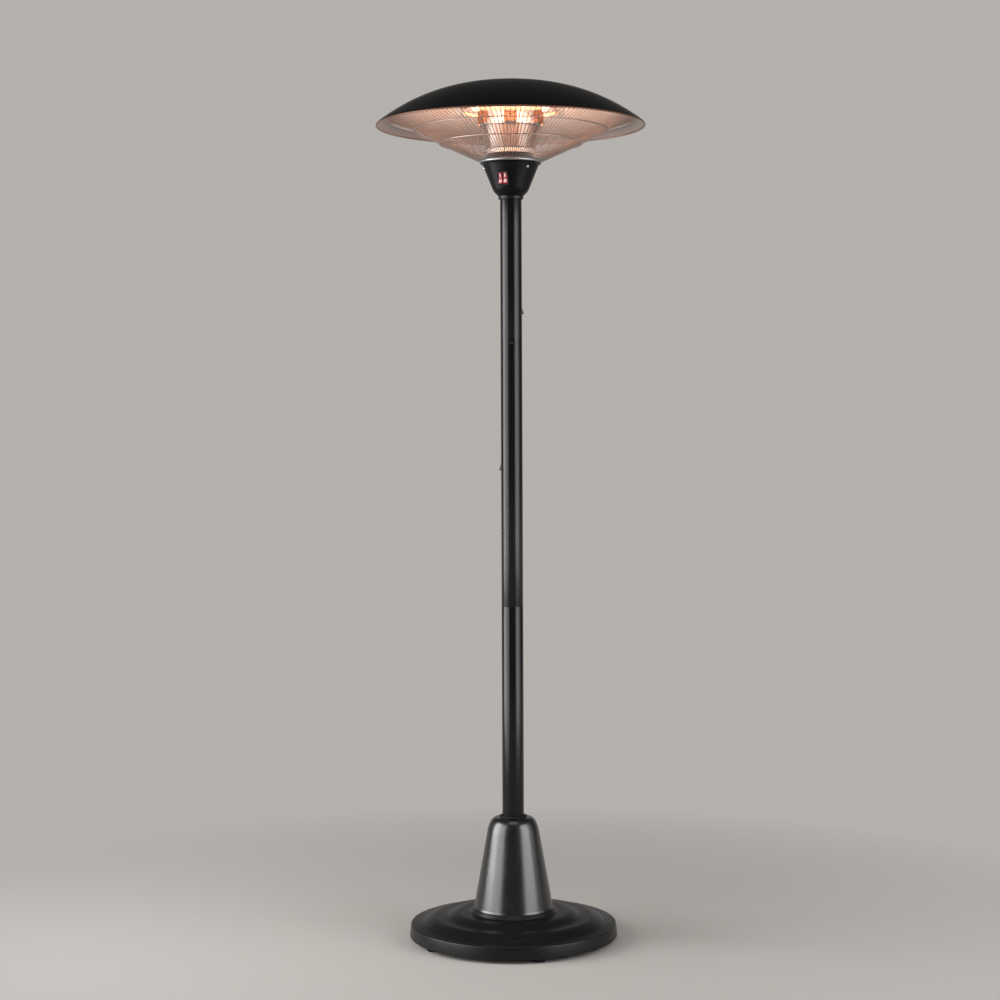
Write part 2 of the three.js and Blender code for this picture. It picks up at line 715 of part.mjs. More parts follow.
function rockerSwitch() {
	const place = groupAt(housingFrame(switchAzimuth, housingBottom + switchRise));
	const face = seatGap + bezelThickness;
	const slots = [-1, 1].map((side) => box(
		side * rockerPitch / 2 - rockerWidth / 2 - seatGap, side * rockerPitch / 2 + rockerWidth / 2 + seatGap,
		-rockerSlotHalf, rockerSlotHalf, -rockerSlotDepth, face + holeReach));
	const body = join(
		box(-bezelWidth / 2, bezelWidth / 2, -bezelHeight / 2, bezelHeight / 2, seatGap, face),
		box(-switchBodyWidth / 2, switchBodyWidth / 2, -switchBodyHeight / 2, switchBodyHeight / 2,
			-switchBodyDepth, seatGap + bezelThickness / 2));
	add('switch_body', cut(body, ...slots), 'black_plastic', place);
	const end = rockerValley + rockerPivotDepth + rockerHalf * Math.tan(rockerTilt * rad);
	const side = polygon([
		[-rockerBody, -rockerDepth], [rockerBody, -rockerDepth], [rockerHalf - rockerDraft, 0], [rockerHalf, end],
		[0, rockerValley + rockerPivotDepth], [-rockerHalf, end], [rockerDraft - rockerHalf, 0],
	]);
	const rocker = prism(side, -rockerWidth / 2, rockerWidth / 2).applyMatrix4(acrossYZ);
	[['rocker_left', -1], ['rocker_right', 1]].forEach(([name, way]) => {
		const mesh = add(name, rocker, 'red_plastic', place);
		mesh.position.set(way * rockerPitch / 2, 0, -rockerPivotDepth);
		mesh.rotation.x = -rockerTilt * rad;
	});
}

function underLid() {
	const top = lidRoof - seatGap;
	const [blockWidth, blockDepth, blockHeight] = terminalSize;
	add('terminal_block', box(-blockWidth / 2, blockWidth / 2, terminalBack - blockDepth, terminalBack,
		top - blockHeight, top), 'ceramic');
	const [caseWidth, caseDepth, caseHeight] = tipCaseSize;
	const left = tipCaseX - caseWidth / 2;
	const right = tipCaseX + caseWidth / 2;
	const pivotZ = top - tipPivotDrop;
	const alongY = (radius, from, to, z) => (
		post(radius, from, to).rotateX(-Math.PI / 2).translate(tipCaseX, 0, z));
	add('tip_switch_case', cut(
		box(left, right, -caseDepth / 2, caseDepth / 2, top - caseHeight, top),
		box(left + tipCaseWall, right - tipCaseWall, -caseDepth, caseDepth / 2 - tipCaseWall,
			top - caseHeight + tipCaseWall, top - tipCaseWall),
		alongY(tipPinRadius + seatGap, 0, caseDepth, pivotZ)), 'black_plastic');
	add('tip_switch_pendulum', join(
		alongY(tipPinRadius, -tipWeightLength / 2, caseDepth / 2, pivotZ),
		post(tipArmRadius, pivotZ - tipArm, pivotZ, tipCaseX),
		alongY(tipWeightRadius, -tipWeightLength / 2, tipWeightLength / 2, pivotZ - tipArm)), 'brass');
}

// ---------- head ----------
// The hood's outer face: a flat crown, then a tighter arc that leaves it without a kink.
function hoodOutline() {
	const crownSlope = Math.asin(crownEdge / crownRadius);
	const crownZ = hoodTop - crownRadius * (1 - Math.cos(crownSlope));
	const edge = [rimRadius - rolledEdge, rimZ + hoodEdgeRise];
	const run = edge[0] - crownEdge;
	const fall = crownZ - edge[1];
	const arcRadius = (run * run + fall * fall)
		/ (2 * (fall * Math.cos(crownSlope) - run * Math.sin(crownSlope)));
	const centre = [crownEdge - arcRadius * Math.sin(crownSlope), crownZ - arcRadius * Math.cos(crownSlope)];
	const edgeSlope = Math.asin((edge[0] - centre[0]) / arcRadius);
	const crownStart = Math.asin((tubeRadius + seatGap) / crownRadius);
	const crown = Array.from({ length: crownPoints }, (_, i) => {
		const slope = crownStart + (crownSlope - crownStart) * i / crownPoints;
		return [crownRadius * Math.sin(slope), hoodTop - crownRadius * (1 - Math.cos(slope))];
	});
	const shoulder = Array.from({ length: shoulderPoints + 1 }, (_, i) => {
		const slope = crownSlope + (edgeSlope - crownSlope) * i / shoulderPoints;
		return [centre[0] + arcRadius * Math.sin(slope), centre[1] + arcRadius * Math.cos(slope)];
	});
	return [...crown, ...shoulder];
}

// Height of an outline at a radius, from its [radius, height] points in order of radius.
function heightAt(outline, radius) {
	const i = Math.max(1, outline.findIndex(([r]) => r > radius));
	const [r0, z0] = outline[i - 1];
	const [r1, z1] = outline[i];
	return z0 + (z1 - z0) * (radius - r0) / (r1 - r0);
}

const hoodFace = hoodOutline();
const liningFace = offsetOutline(hoodFace, hoodSheet + liningGap);
const liningUnder = offsetOutline(hoodFace, hoodSheet + liningGap + liningSheet);

function hood() {
	add('hood', sheet(hoodFace, hoodSheet, roundSides), 'gloss_black');
	const roll = Array.from({ length: rollPoints }, (_, i) => {
		const a = (rollStart + rollStep * i) * rad;
		return [rimRadius - rolledEdge + rolledEdge * Math.cos(a), rimZ + rolledEdge * Math.sin(a)];
	});
	add('hood_lining', revolve([
		...liningUnder, ...roll, ...liningFace.slice().reverse(),
	], roundSides), 'lining');
	const bore = tubeRadius + seatGap;
	const seat = hoodTop + seatGap;
	add('cap_nut', revolve([
		[0, seat + nutHeight - nutRoof], [bore, seat + nutHeight - nutRoof], [bore, seat],
		[nutRadius, seat], [nutRadius, seat + nutHeight * nutEdgeShare],
		[nutRadius * nutCrownShare, seat + nutHeight * nutCrownHeightShare],
		[0, seat + nutHeight],
	], tubeSides), 'gloss_black');
	const collarTop = lidRoof - seatGap;
	const tubeBottom = collarTop - tubeCollarHeight - tubeDrop;
	const tubeTop = hoodTop + tubeTopRise;
	add('centre_tube', revolve([
		[tubeRadius - tubeWall, tubeBottom], [tubeRadius, tubeBottom], [tubeRadius, collarTop - tubeCollarHeight],
		[tubeCollar, collarTop - tubeCollarHeight], [tubeCollar, collarTop], [tubeRadius, collarTop],
		[tubeRadius, tubeTop], [tubeRadius - tubeWall, tubeTop],
	], tubeSides), 'plated_steel');
}

function column() {
	const footTop = columnBottom + columnFootHeight;
	const beadZ = columnBottom + columnBeadRise;
	const top = heightAt(liningUnder, columnRadius) - seatGap;
	const outline = [
		[columnRadius, top], [columnRadius, beadZ + columnBeadHeight],
		[columnRadius + columnBead, beadZ + columnBeadHeight / 2],
		[columnRadius + columnBead, beadZ - columnBeadHeight / 2],
		[columnNeckRadius, beadZ - columnBeadHeight], [columnLowRadius, footTop + columnStep],
		[columnFootRadius, footTop], [columnFootRadius, columnBottom + columnSheet],
		[columnFootRadius - columnSheet, columnBottom],
		[tubeRadius + seatGap, columnBottom],
	];
	add('reflector_column', sheet(outline, columnSheet, middleSides), 'polished_steel');
}

function guard() {
	const clearance = (upperRingWire + seatGap) * Math.SQRT2;
	const upperRingZ = heightAt(liningUnder, upperRingRadius + upperRingWire) - clearance;
	const path = new THREE.CatmullRomCurve3([
		[lowerRingRadius, lowerRingZ],
		[innerRingRadius, lowerRingZ + innerRingRise],
		[outerRingRadius, lowerRingZ + outerRingRise],
		[upperRingRadius, upperRingZ],
	].map(([r, z]) => new THREE.Vector3(r, 0, z)));
	const section = new THREE.Shape(Array.from({ length: wireSides }, (_, i) => {
		const a = 2 * Math.PI * i / wireSides;
		return new THREE.Vector2(wireRadius * Math.cos(a), wireRadius * Math.sin(a));
	}));
	const wire = new THREE.ExtrudeGeometry(section, { steps: wireSteps, extrudePath: path, bevelEnabled: false });
	const ring = (radius, z, thickness) => new THREE.TorusGeometry(radius, thickness, ringSides, wireCount)
		.translate(0, 0, z);
	const wires = Array.from({ length: wireCount }, (_, i) => (
		wire.clone().rotateZ((i + 0.5) * 2 * Math.PI / wireCount)));
	const knots = path.getSpacedPoints(wireSteps).map((point) => [point.x, point.z]);
	const middleRing = (radius) => ring(radius,
		heightAt(knots, radius) - wireRadius - middleRingWire / 2, middleRingWire);
	add('guard_grille', join(
		ring(lowerRingRadius, lowerRingZ, lowerRingWire),
		middleRing(innerRingRadius),
		middleRing(outerRingRadius),
		ring(upperRingRadius, upperRingZ, upperRingWire),
		...wires), 'wire_steel');
}

// ---------- lamps ----------
function alongX(geometry) {
	return geometry.rotateY(Math.PI / 2).translate(0, -lampOffset, lampZ);
}

function lampHolder() {
	const [length, width, height] = holderSize;
	const start = quartzLength / 2 - quartzInHolder;
	const body = box(start, start + length, -lampOffset - width / 2, -lampOffset + width / 2,
		lampZ - height / 2, lampZ + height / 2);
	return cut(body,
		alongX(post(quartzRadius + seatGap, start - holeReach, start + quartzInHolder + seatGap)),
		alongX(post(filamentPin + seatGap, start, start + holderPinDepth)));
}

function lamps() {
	const holder = lampHolder();
	const half = quartzLength / 2;
	const pinEnd = half - quartzInHolder + holderPinDepth - seatGap;
	const quartz = alongX(tube(quartzRadius, quartzRadius - quartzWall, -half, half, smallSides));
	const filament = alongX(revolve([
		[0, -pinEnd], [filamentPin, -pinEnd], [filamentPin, -filamentHalf - filamentRadius],
		[filamentRadius, -filamentHalf], [filamentRadius, filamentHalf],
		[filamentPin, filamentHalf + filamentRadius], [filamentPin, pinEnd], [0, pinEnd],
	], filamentSides));
	for (let i = 0; i < lampCount; i++) {
		const side = new THREE.Group();
		side.rotation.z = i * 2 * Math.PI / lampCount;
		heater.add(side);
		add(`lamp_${i + 1}`, quartz, 'quartz', side);
		add(`filament_${i + 1}`, filament, 'filament', side);
		add(`lamp_holder_${2 * i + 1}`, holder, 'ceramic', side);
		const other = add(`lamp_holder_${2 * i + 2}`, holder, 'ceramic', side);
		other.rotation.z = Math.PI;
		other.position.y = -2 * lampOffset;
	}
}

// A folded channel that stands on the column, drawn for the front.
function channel(face, top) {
	const half = bracketWidth / 2;
	const back = Math.sqrt(columnRadius ** 2 - (half - bracketSheet) ** 2) + seatGap;
	const inner = face - bracketSheet;
	return prism(polygon([
		[-half, -face], [half, -face], [half, -back], [half - bracketSheet, -back],
		[half - bracketSheet, -inner], [bracketSheet - half, -inner], [bracketSheet - half, -back], [-half, -back],
	]), lampZ - bracketDrop, top);
}

function lampBrackets() {
	const armBottom = lampZ + holderSize[2] / 2 + seatGap;
	const half = bracketWidth / 2;
	const arm = prism(polygon([
		[-half, bracketSheet - bracketFace], [-half, armWing - armReach], [-half - armSpread, armWing / 2 - armReach],
		[-half - armTip, -armReach], [half + armTip, -armReach], [half + armSpread, armWing / 2 - armReach],
		[half, armWing - armReach], [half, bracketSheet - bracketFace],
	]), armBottom, armBottom + bracketSheet);
	const bracket = join(channel(bracketFace, armBottom + bracketSheet / 2), arm);
	const restTop = lampZ + restRise;
	const lipTop = lampZ - quartzRadius - seatGap;
	const rest = join(channel(restFace, restTop),
		box(-half / 2, half / 2, -restFace + bracketSheet / 2 - restLipWidth, -restFace + bracketSheet / 2,
			lipTop - bracketSheet, lipTop));
	for (let i = 0; i < lampCount; i++) {
		const turn = 2 * Math.PI / lampCount;
		add(`lamp_bracket_${i + 1}`, bracket, 'plated_steel').rotation.z = (i + 0.5) * turn;
		add(`lamp_rest_${i + 1}`, rest, 'plated_steel').rotation.z = i * turn;
	}
}

baseCover();
baseWeight();
feet();
pole();
bellCover();
cordClip('cord_clip_lower', lowerClipAzimuth, lowerClipZ);
cordClip('cord_clip_upper', upperClipAzimuth, upperClipZ);
switchHousing();
housingLid();
housingScrews();
rockerSwitch();
underLid();
hood();
column();
guard();
lamps();
lampBrackets();

export default heater;
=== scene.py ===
import json
import math

import bmesh
import bpy
from mathutils import Matrix, Vector


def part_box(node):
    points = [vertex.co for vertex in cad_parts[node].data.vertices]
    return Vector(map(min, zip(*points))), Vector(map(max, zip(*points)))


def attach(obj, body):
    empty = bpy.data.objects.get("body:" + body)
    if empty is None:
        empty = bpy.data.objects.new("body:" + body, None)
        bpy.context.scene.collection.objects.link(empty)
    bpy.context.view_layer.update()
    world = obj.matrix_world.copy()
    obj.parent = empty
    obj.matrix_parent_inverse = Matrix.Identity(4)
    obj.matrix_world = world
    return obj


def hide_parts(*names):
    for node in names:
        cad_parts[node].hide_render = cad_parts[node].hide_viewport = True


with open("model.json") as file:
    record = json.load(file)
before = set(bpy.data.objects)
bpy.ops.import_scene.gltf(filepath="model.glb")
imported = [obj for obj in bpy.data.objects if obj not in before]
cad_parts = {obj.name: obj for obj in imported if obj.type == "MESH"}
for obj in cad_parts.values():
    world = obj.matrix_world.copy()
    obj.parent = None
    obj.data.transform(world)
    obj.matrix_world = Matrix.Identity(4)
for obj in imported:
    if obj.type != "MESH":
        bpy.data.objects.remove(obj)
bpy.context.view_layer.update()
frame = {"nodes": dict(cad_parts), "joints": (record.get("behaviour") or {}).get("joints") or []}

MAIN_BODY = "heater"
BELL_BODY = "bell"

# ---------- the photograph's view, in metres and degrees ----------
CAMERA_DISTANCE = 4.942
CAMERA_HEIGHT = 1.2425
CAMERA_LENS = 73.5
CAMERA_SENSOR = 36
CAMERA_SHIFT = (-0.0117, -0.0757)
CAMERA_ROLL = -0.22

# ---------- studio ----------
BACKGROUND = (0.46, 0.44, 0.42)
ROOM = (0.10, 0.097, 0.093)  # what gloss shows from high up and beside the camera
AMBIENT = (0.16, 0.155, 0.15)
BACK_SPREAD = (0.50, 0.88)  # how far a direction points away from the camera, dim to pale
BACK_HEIGHT = (0.38, 0.215)  # how far it points up, dim to pale
SEEN_RAYS = ("Is Camera Ray", "Is Glossy Ray", "Is Transmission Ray")
FLOOR_COLOUR = (0.43, 0.41, 0.39)
FLOOR_SIZE = 60.0
FLOOR_FADE = (0.45, 1.7)  # distances between which the painted floor runs into a plain pale one
FLOOR_JOIN = (6.0, 16.0)  # distances between which that takes on the backdrop's shade
SOFTBOX_DISTANCE = 2.5
SOFTBOXES = {  # degrees right of the front, width, lower edge, upper edge, radiance
    "left_main": (-84.0, 1.5, 0.25, 2.45, 8.4),
    "left_fill": (-52.0, 1.2, 0.25, 2.45, 4.4),
    "left_low": (-68.0, 2.2, 0.02, 0.24, 3.0),
    "right_main": (56.0, 1.8, 0.25, 2.45, 4.8),
    "right_side": (86.0, 0.9, 0.25, 2.45, 1.0),
    "right_low": (56.0, 1.8, 0.02, 0.24, 1.4),
}
TOP_SOFTBOX = (2.4, 2.0)
TOP_PLACE = (0, -1.6, 4.4)
TOP_TARGET = (0, 0, 0.4)
TOP_RADIANCE = 1.5
GLOW_POWER = 1.15  # at each of two places along a lamp
GLOW_COLOUR = (1.0, 0.53, 0.33)
GLOW_PLACES = (-0.035, 0.035)
GLOW_SETBACK = 0.022  # how far outside its lamp a glow stands
GLOW_SIZE = 0.012
QUARTZ_GLOW = 0.18
COIL_GLOW = 1.6

# ---------- facets ----------
DOME_ROUND = 256
ROUND = 192  # round a large piece
POLE_ROUND = 96
SMALL_ROUND = 64
SCREW_ROUND = 32
PIN_ROUND = 12
GUARD_RING_ROUND = 288
GUARD_RING_SIDES = 10
WIRE_SIDES = 8
COIL_ROUND = 9  # in one turn
COIL_SIDES = 4

# ---------- sizes that the frame doesn't state, in metres and degrees ----------
SEAT_GAP = 0.0003  # between a piece and what it rests on
TUBE_EDGE = 0.00015  # fillet of a tube's cut end

COVER_SHEET = 0.0015
COVER_HOLE = 0.032
BOSS_RADIUS = 0.098
BOSS_FOOT = 0.105
BOSS_RISE = 0.0097
SECOND_STEP = (0.160, 0.128)  # outer foot and inner crest
SECOND_STEP_RISE = 0.010
FIRST_STEP = (0.221, 0.182)
FIRST_STEP_RISE = 0.0148
OUTER_FLAT_RISE = 0.0015
RIM_LEAN = 0.003
LIP_WIDTH = 0.0095
FOOT_GROOVE = 0.0012

POLE_WALL = 0.0015
JOINT_CLOSING = 0.0002  # closes the joins between the tubes
SPIGOT_WALL = 0.0036
LOCK_SCREW = (0.0020, 0.0045, 0.0040, 0.0016)  # shank radius and length, head radius and rise
LOCK_SCREW_AZIMUTHS = {"lower": 180.0, "upper": 0.0}
CLIP_BORE = 0.0042
CLIP_WALL = 0.0020
CLIP_PAD = (0.014, 0.0020)  # width and thickness
CLIP_MOUTH = 35.0  # half of the angle over which a clip is open
CLIP_LIP = (0.0006, 0.0012)  # how far its ends turn aside and out
CLIP_BEVEL = 0.0003
CLIP_SLANT = 0.55  # how much nearer the pole a clip's upper end stands
CLIP_AZIMUTHS = {"lower": -131.5, "upper": 132.0}

BELL_SHEET = 0.0012
BELL_TAPER = 0.1814
BELL_SHOULDER = 0.0368
BELL_TOP_RADIUS = 0.040
BELL_HOLE = 0.0298
BELL_FLARE = (0.0008, 0.0045)  # the lower edge turns out by the first over the height of the second
COLLAR_GAP = 0.0006
COLLAR_LEAN = 0.0005

BOWL = ((0.0455, 0.0194), (0.0415, 0.0077), (0.0304, 0.0))  # radius and rise of the rounded bottom
HOUSING_TOP_RADIUS = 0.0695
HOUSING_SHEET = 0.0015
HOUSING_EDGE = 0.0004
HOUSING_PLAY = 0.0004  # round the pole, in the housing and in the neck collar
HOUSING_SCREW = (0.0019, 0.0080, 0.0035, 0.0022)
SCREW_DROP = 0.0125
SCREW_AZIMUTH = 38.7
INLET = (0.0073, 0.010, 0.014)  # bore radius, outer radius and depth
GLAND_RISE = 0.0040
GLAND_STUD = (0.005, 0.007, 0.012)  # bore radius, outer radius and depth
GLAND_HEAD = 0.0095
GLAND_SHOULDER = (0.0003, 0.0025)  # how far in and how high the head's side leans
GLAND_FUNNEL = (0.0002, 0.0020)  # how far the bore widens and how far from the stud's end
LID_SHEET = 0.002
LID_SKIRT = 0.003
LID_SLOPE = (0.0062, 0.0028, 0.003)  # from the housing's edge to its foot and head, and its fall
LID_BOSS_RADIUS = 0.0575

SWITCH_AZIMUTH = -20.6
SWITCH_RISE = 0.0378
BEZEL_SIZE = (0.029, 0.035, 0.003)
BEZEL_BEVEL = 0.0008
SWITCH_BODY = (0.0264, 0.032, 0.0205)
SWITCH_BODY_DEPTH = 0.0100
SWITCH_OPENING = (0.0270, 0.0326, 0.03)
ROCKER_PITCH = 0.0122
ROCKER_SLOT = (0.0112, 0.0278, 0.0075)
ROCKER_WIDTH = 0.0106
ROCKER_HALF = 0.013  # half of its face, from end to end
ROCKER_FACE = (0.002, 0.00429)  # height of the face over the pivot, in the hollow and at the ends
ROCKER_BODY = (0.009, 0.004)  # half length and depth of the moulding under the pivot
ROCKER_DRAFT = 0.0004
ROCKER_BEVEL = 0.0005
ROCKER_TILT = -10.0  # at rest
PRINTED_BAR = (0.0020, 0.0084, 0.0005)
PRINTED_RING = (0.0035, 0.0016, 0.0005)  # outer radius, wall and thickness
PRINTED_BAR_PLACE = (0, 0.0066, 0.0029)
PRINTED_RING_PLACE = (0, -0.0068, 0.0029)

TUBE_BORE = 0.0093  # round the centre tube
CROWN_RADIUS = 0.650
CROWN_EDGE = 0.120
HOOD_SHEET = 0.0012
HOOD_EDGE_RISE = 0.0034
LINING_GAP = 0.0004
LINING_SHEET = 0.0008
LINING_RIM_SHADE = (0.24, 0.31)  # radii between which painted shade darkens the lining towards its rim
LINING_EDGE_SHADE = (0.3215, 0.3240)  # radii between which painted shade with a dim red glow darkens the lining to its rolled edge
ROLLED_EDGE = 0.002
ROLL_ARC = (200.0, 440.0)  # degrees at which the roll starts and ends
ROLL_LIFT = math.sin(math.radians(75))  # the CAD's roll has its lowest corners at this share of its radius
NUT_TOP = 0.0027
NUT_SKIRT = 0.0024
NUT_CROWN = (0.6, 0.0005)  # share of its radius and depth of the last corner

COLUMN_SHEET = 0.001
COLUMN_FOOT = (0.0575, 0.011)
COLUMN_LOW_RADIUS = 0.060
COLUMN_NECK_RADIUS = 0.073
COLUMN_BEAD_RISE = 0.0677
COLUMN_BEAD = 0.0013
COLUMN_BEAD_HALF = (0.0012, 0.0022)  # half of its height at the crest and at the root
COLUMN_CONE_RISE = 0.002  # from the foot to the cone
COLUMN_SHINE = (0.0, 0.003)  # heights over the foot between which the sheet turns from dull to bright
COLUMN_FADE = (-0.001, 0.002)  # and from the foot's colour to the cone's
COLUMN_BEAD_FADE = (-0.002, 0.0)  # heights over the bead between which the cone's colour gives way

WIRES = 144
WIRE_RADIUS = 0.00085
WIRE_SHEEN_FADE = (1.8800, 1.8840)  # heights between which the lowest ring's painted grey sheen gives way to brown
GUARD_RINGS = ((0.0725, 0.0, 0.0035), (0.1725, 0.0464, 0.0015), (0.2335, 0.0781, 0.0015))
UPPER_RING_WIRE = 0.002
RING_DROP = WIRE_RADIUS + 0.001  # how far the middle rings lie under the wires' middle line

LAMPS = 3
LAMP_WALL = 0.0012
COIL_TURNS = 46
COIL_RADIUS = 0.0024
COIL_WIRE = 0.00045
COIL_END = 0.008  # between a coil and its lamp's end
PIN_RADIUS = 0.0007
HOLDER_SIZE = (0.022, 0.016, 0.018)
HOLDER_GROOVE = (0.0012, 0.03, 0.0016)
HOLDER_GROOVES = (-0.004, 0.0, 0.004)
HOLDER_SOCKET = (-0.001, 0.0043)  # from the holder's inner face to the socket's start and end
HOLDER_BEVEL = 0.0012


# ---------- node trees ----------
class Nodes:
    """A node tree with short calls that add a node, set it up and link it."""

    def __init__(self, tree):
        self.tree = tree

    def put(self, node, socket, value):
        """Links an output to a socket, or else sets the socket's own value."""
        if hasattr(value, "is_output"):
            self.tree.links.new(value, node.inputs[socket])
        else:
            node.inputs[socket].default_value = value

    def add(self, kind, inputs=None, output=0, **settings):
        """The output of a new node with these inputs and settings."""
        node = self.tree.nodes.new(kind)
        for name, value in settings.items():
            setattr(node, name, value)
        for socket, value in (inputs or {}).items():
            self.put(node, socket, value)
        return node.outputs[output]

    def computed(self, operation, first, second):
        return self.add("ShaderNodeMath", {0: first, 1: second}, operation=operation)

    def ranged(self, value, low, high, start=0.3, end=0.7, **settings):
        """Low where the value is at its start, and high where it is at its end."""
        ends = {"From Min": start, "From Max": end, "To Min": low, "To Max": high}
        return self.add("ShaderNodeMapRange", {"Value": value, **ends}, **settings)

    def share(self, value, ends, **settings):
        """How far the value has come between its two ends, from 0 to 1."""
        return self.ranged(value, 0.0, 1.0, *ends, **settings)

    def blended(self, factor, first, second):
        """The first colour where the factor is 0, and the second where it is 1."""
        node = self.tree.nodes.new("ShaderNodeMix")
        node.data_type = "RGBA"
        self.put(node, "Factor", factor)
        ends = [i for i, socket in enumerate(node.inputs) if socket.type == "RGBA"]
        for index, colour in zip(ends, (first, second)):
            self.put(node, index, colour if hasattr(colour, "is_output") else (*colour, 1.0))
        return [socket for socket in node.outputs if socket.type == "RGBA"][0]


# ---------- finishes ----------
class Finish(Nodes):
    """A node material on object coordinates."""

    def __init__(self, name, colour, **sockets):
        self.material = bpy.data.materials.new(name)
        self.material.use_nodes = True
        super().__init__(self.material.node_tree)
        self.shader = self.tree.nodes["Principled BSDF"]
        for socket, value in {"Base_Color": (*colour, 1.0), **sockets}.items():
            self.shader.inputs[socket.replace("_", " ")].default_value = value
        self.coordinates = self.add("ShaderNodeTexCoord", output="Object")

    def stretched(self, scale):
        """Object coordinates stretched by a factor along each axis."""
        return self.add("ShaderNodeMapping", {"Vector": self.coordinates, "Scale": scale})

    def noise(self, scale, detail=3.0, vector=None):
        inputs = {"Vector": vector or self.coordinates, "Scale": scale, "Detail": detail}
        return self.add("ShaderNodeTexNoise", inputs, "Fac")

    def cells(self, scale):
        return self.add("ShaderNodeTexVoronoi", {"Vector": self.coordinates, "Scale": scale}, "Distance")

    def radius(self):
        """Distance from the pole's axis."""
        inputs = {0: self.coordinates, 1: (1.0, 1.0, 0.0)}
        level = self.add("ShaderNodeVectorMath", inputs, operation="MULTIPLY")
        return self.add("ShaderNodeVectorMath", {0: level}, "Value", operation="LENGTH")

    def height(self):
        return self.add("ShaderNodeSeparateXYZ", {"Vector": self.coordinates}, "Z")

    def lathe_marks(self, scale):
        """Fine turning marks that run round the axis."""
        inputs = {"W": self.radius(), "Scale": scale, "Detail": 4.0}
        return self.add("ShaderNodeTexNoise", inputs, "Fac", noise_dimensions="1D")

    def paint(self, colour):
        self.put(self.shader, "Base Color", colour)

    def colour(self, factor, first, second):
        self.paint(self.blended(factor, first, second))

    def roughness(self, value, low, high):
        self.put(self.shader, "Roughness", self.ranged(value, low, high))

    def bump(self, height, distance, strength):
        """Adds a bump of that depth in metres over the bumps already there."""
        inputs = {"Height": height, "Distance": distance, "Strength": strength}
        before = self.shader.inputs["Normal"].links
        if before:
            inputs["Normal"] = before[0].from_socket
        self.put(self.shader, "Normal", self.add("ShaderNodeBump", inputs))


def gloss_paint(name, colour, gloss, level):
    """Stoved gloss paint: faint orange peel, dust specks and slight clouding."""
    finish = Finish(name, colour, IOR=1.5, Specular_IOR_Level=level)
    finish.colour(finish.noise(9.0), colour, tuple(c * 1.5 + 0.0005 for c in colour))
    drawn = finish.noise(70.0, vector=finish.stretched((1.0, 1.0, 0.25)))
    finish.roughness(drawn, gloss - 0.02, gloss + 0.03)
    finish.bump(finish.noise(260.0, 2.0), 0.00002, 0.06)
    finish.bump(finish.noise(1600.0, 1.0), 0.000004, 0.06)
    return finish.material


def powder_coat(name, colour, gloss, level):
    """Satin powder coat with a fine pebbled skin."""
    finish = Finish(name, colour, IOR=1.5, Specular_IOR_Level=level)
    finish.colour(finish.noise(14.0, 4.0), colour, tuple(c * 1.35 + 0.001 for c in colour))
    finish.roughness(finish.noise(160.0), gloss - 0.05, gloss + 0.06)
    finish.bump(finish.cells(1100.0), 0.00005, 0.35)
    finish.bump(finish.noise(3000.0, 2.0), 0.00002, 0.3)
    return finish.material


def spun_lining():
    """Bright spun metal with turning marks, darkened towards its rim by painted shade, with painted shade and
    a dim red glow on the rolled edge.
    """
    finish = Finish("spun_lining", (0.70, 0.67, 0.65), Metallic=0.55)
    marks = finish.lathe_marks(900.0)
    spun = finish.blended(finish.noise(11.0, 4.0), (0.74, 0.69, 0.66), (0.62, 0.56, 0.53))
    # Painted shade: the outer lining is darkened towards its rim.
    spun = finish.blended(finish.share(finish.radius(), LINING_RIM_SHADE), spun, (0.34, 0.31, 0.30))
    # Painted shade with a dim red glow on the rolled edge.
    finish.colour(finish.share(finish.radius(), LINING_EDGE_SHADE), spun, (0.13, 0.06, 0.04))
    finish.roughness(marks, 0.30, 0.42)
    finish.bump(marks, 0.00002, 0.4)
    finish.bump(finish.noise(30.0, 2.0), 0.00005, 0.2)
    return finish.material


def polished_column():
    """Polished sheet with faint upright rolling marks: pale foot, a cone painted brown as a reflection of the
    room tinted by the lamps' glow, and bright barrel.
    """
    finish = Finish("polished_column", (0.56, 0.54, 0.54))
    marks = finish.noise(260.0, 3.0, finish.stretched((1.0, 1.0, 0.02)))
    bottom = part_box("reflector_column")[0].z
    foot_top = bottom + COLUMN_FOOT[1]
    bead = bottom + COLUMN_BEAD_RISE
    height = finish.height()
    shine, fade = ([foot_top + rise for rise in ends] for ends in (COLUMN_SHINE, COLUMN_FADE))
    finish.put(finish.shader, "Metallic", finish.ranged(height, 0.08, 0.38, *shine))
    bright = finish.blended(finish.noise(20.0), (0.58, 0.56, 0.56), (0.49, 0.47, 0.47))
    # The cone's brown is a painted reflection of the room tinted by the lamps' glow.
    brown_tone = finish.blended(finish.noise(35.0), (0.29, 0.22, 0.19), (0.23, 0.17, 0.14))
    lower = finish.blended(finish.share(height, fade), (0.64, 0.55, 0.49), brown_tone)
    finish.colour(finish.share(height, [bead + rise for rise in COLUMN_BEAD_FADE]), lower, bright)
    finish.roughness(marks, 0.14, 0.22)
    finish.bump(marks, 0.00001, 0.4)
    return finish.material


def plated_wire():
    """Plated wire, brown above and grey at the lowest ring, where the grey is a painted sheen."""
    finish = Finish("plated_wire", (0.36, 0.34, 0.33), Metallic=0.85)
    brown_tone = finish.blended(finish.noise(60.0, 4.0), (0.38, 0.31, 0.28), (0.27, 0.21, 0.18))
    # The lowest ring's grey is a painted sheen.
    finish.colour(finish.ranged(finish.height(), 1.0, 0.0, *WIRE_SHEEN_FADE), brown_tone, (0.27, 0.27, 0.28))
    finish.roughness(finish.noise(400.0), 0.30, 0.42)
    finish.bump(finish.noise(1500.0), 0.00001, 0.3)
    return finish.material


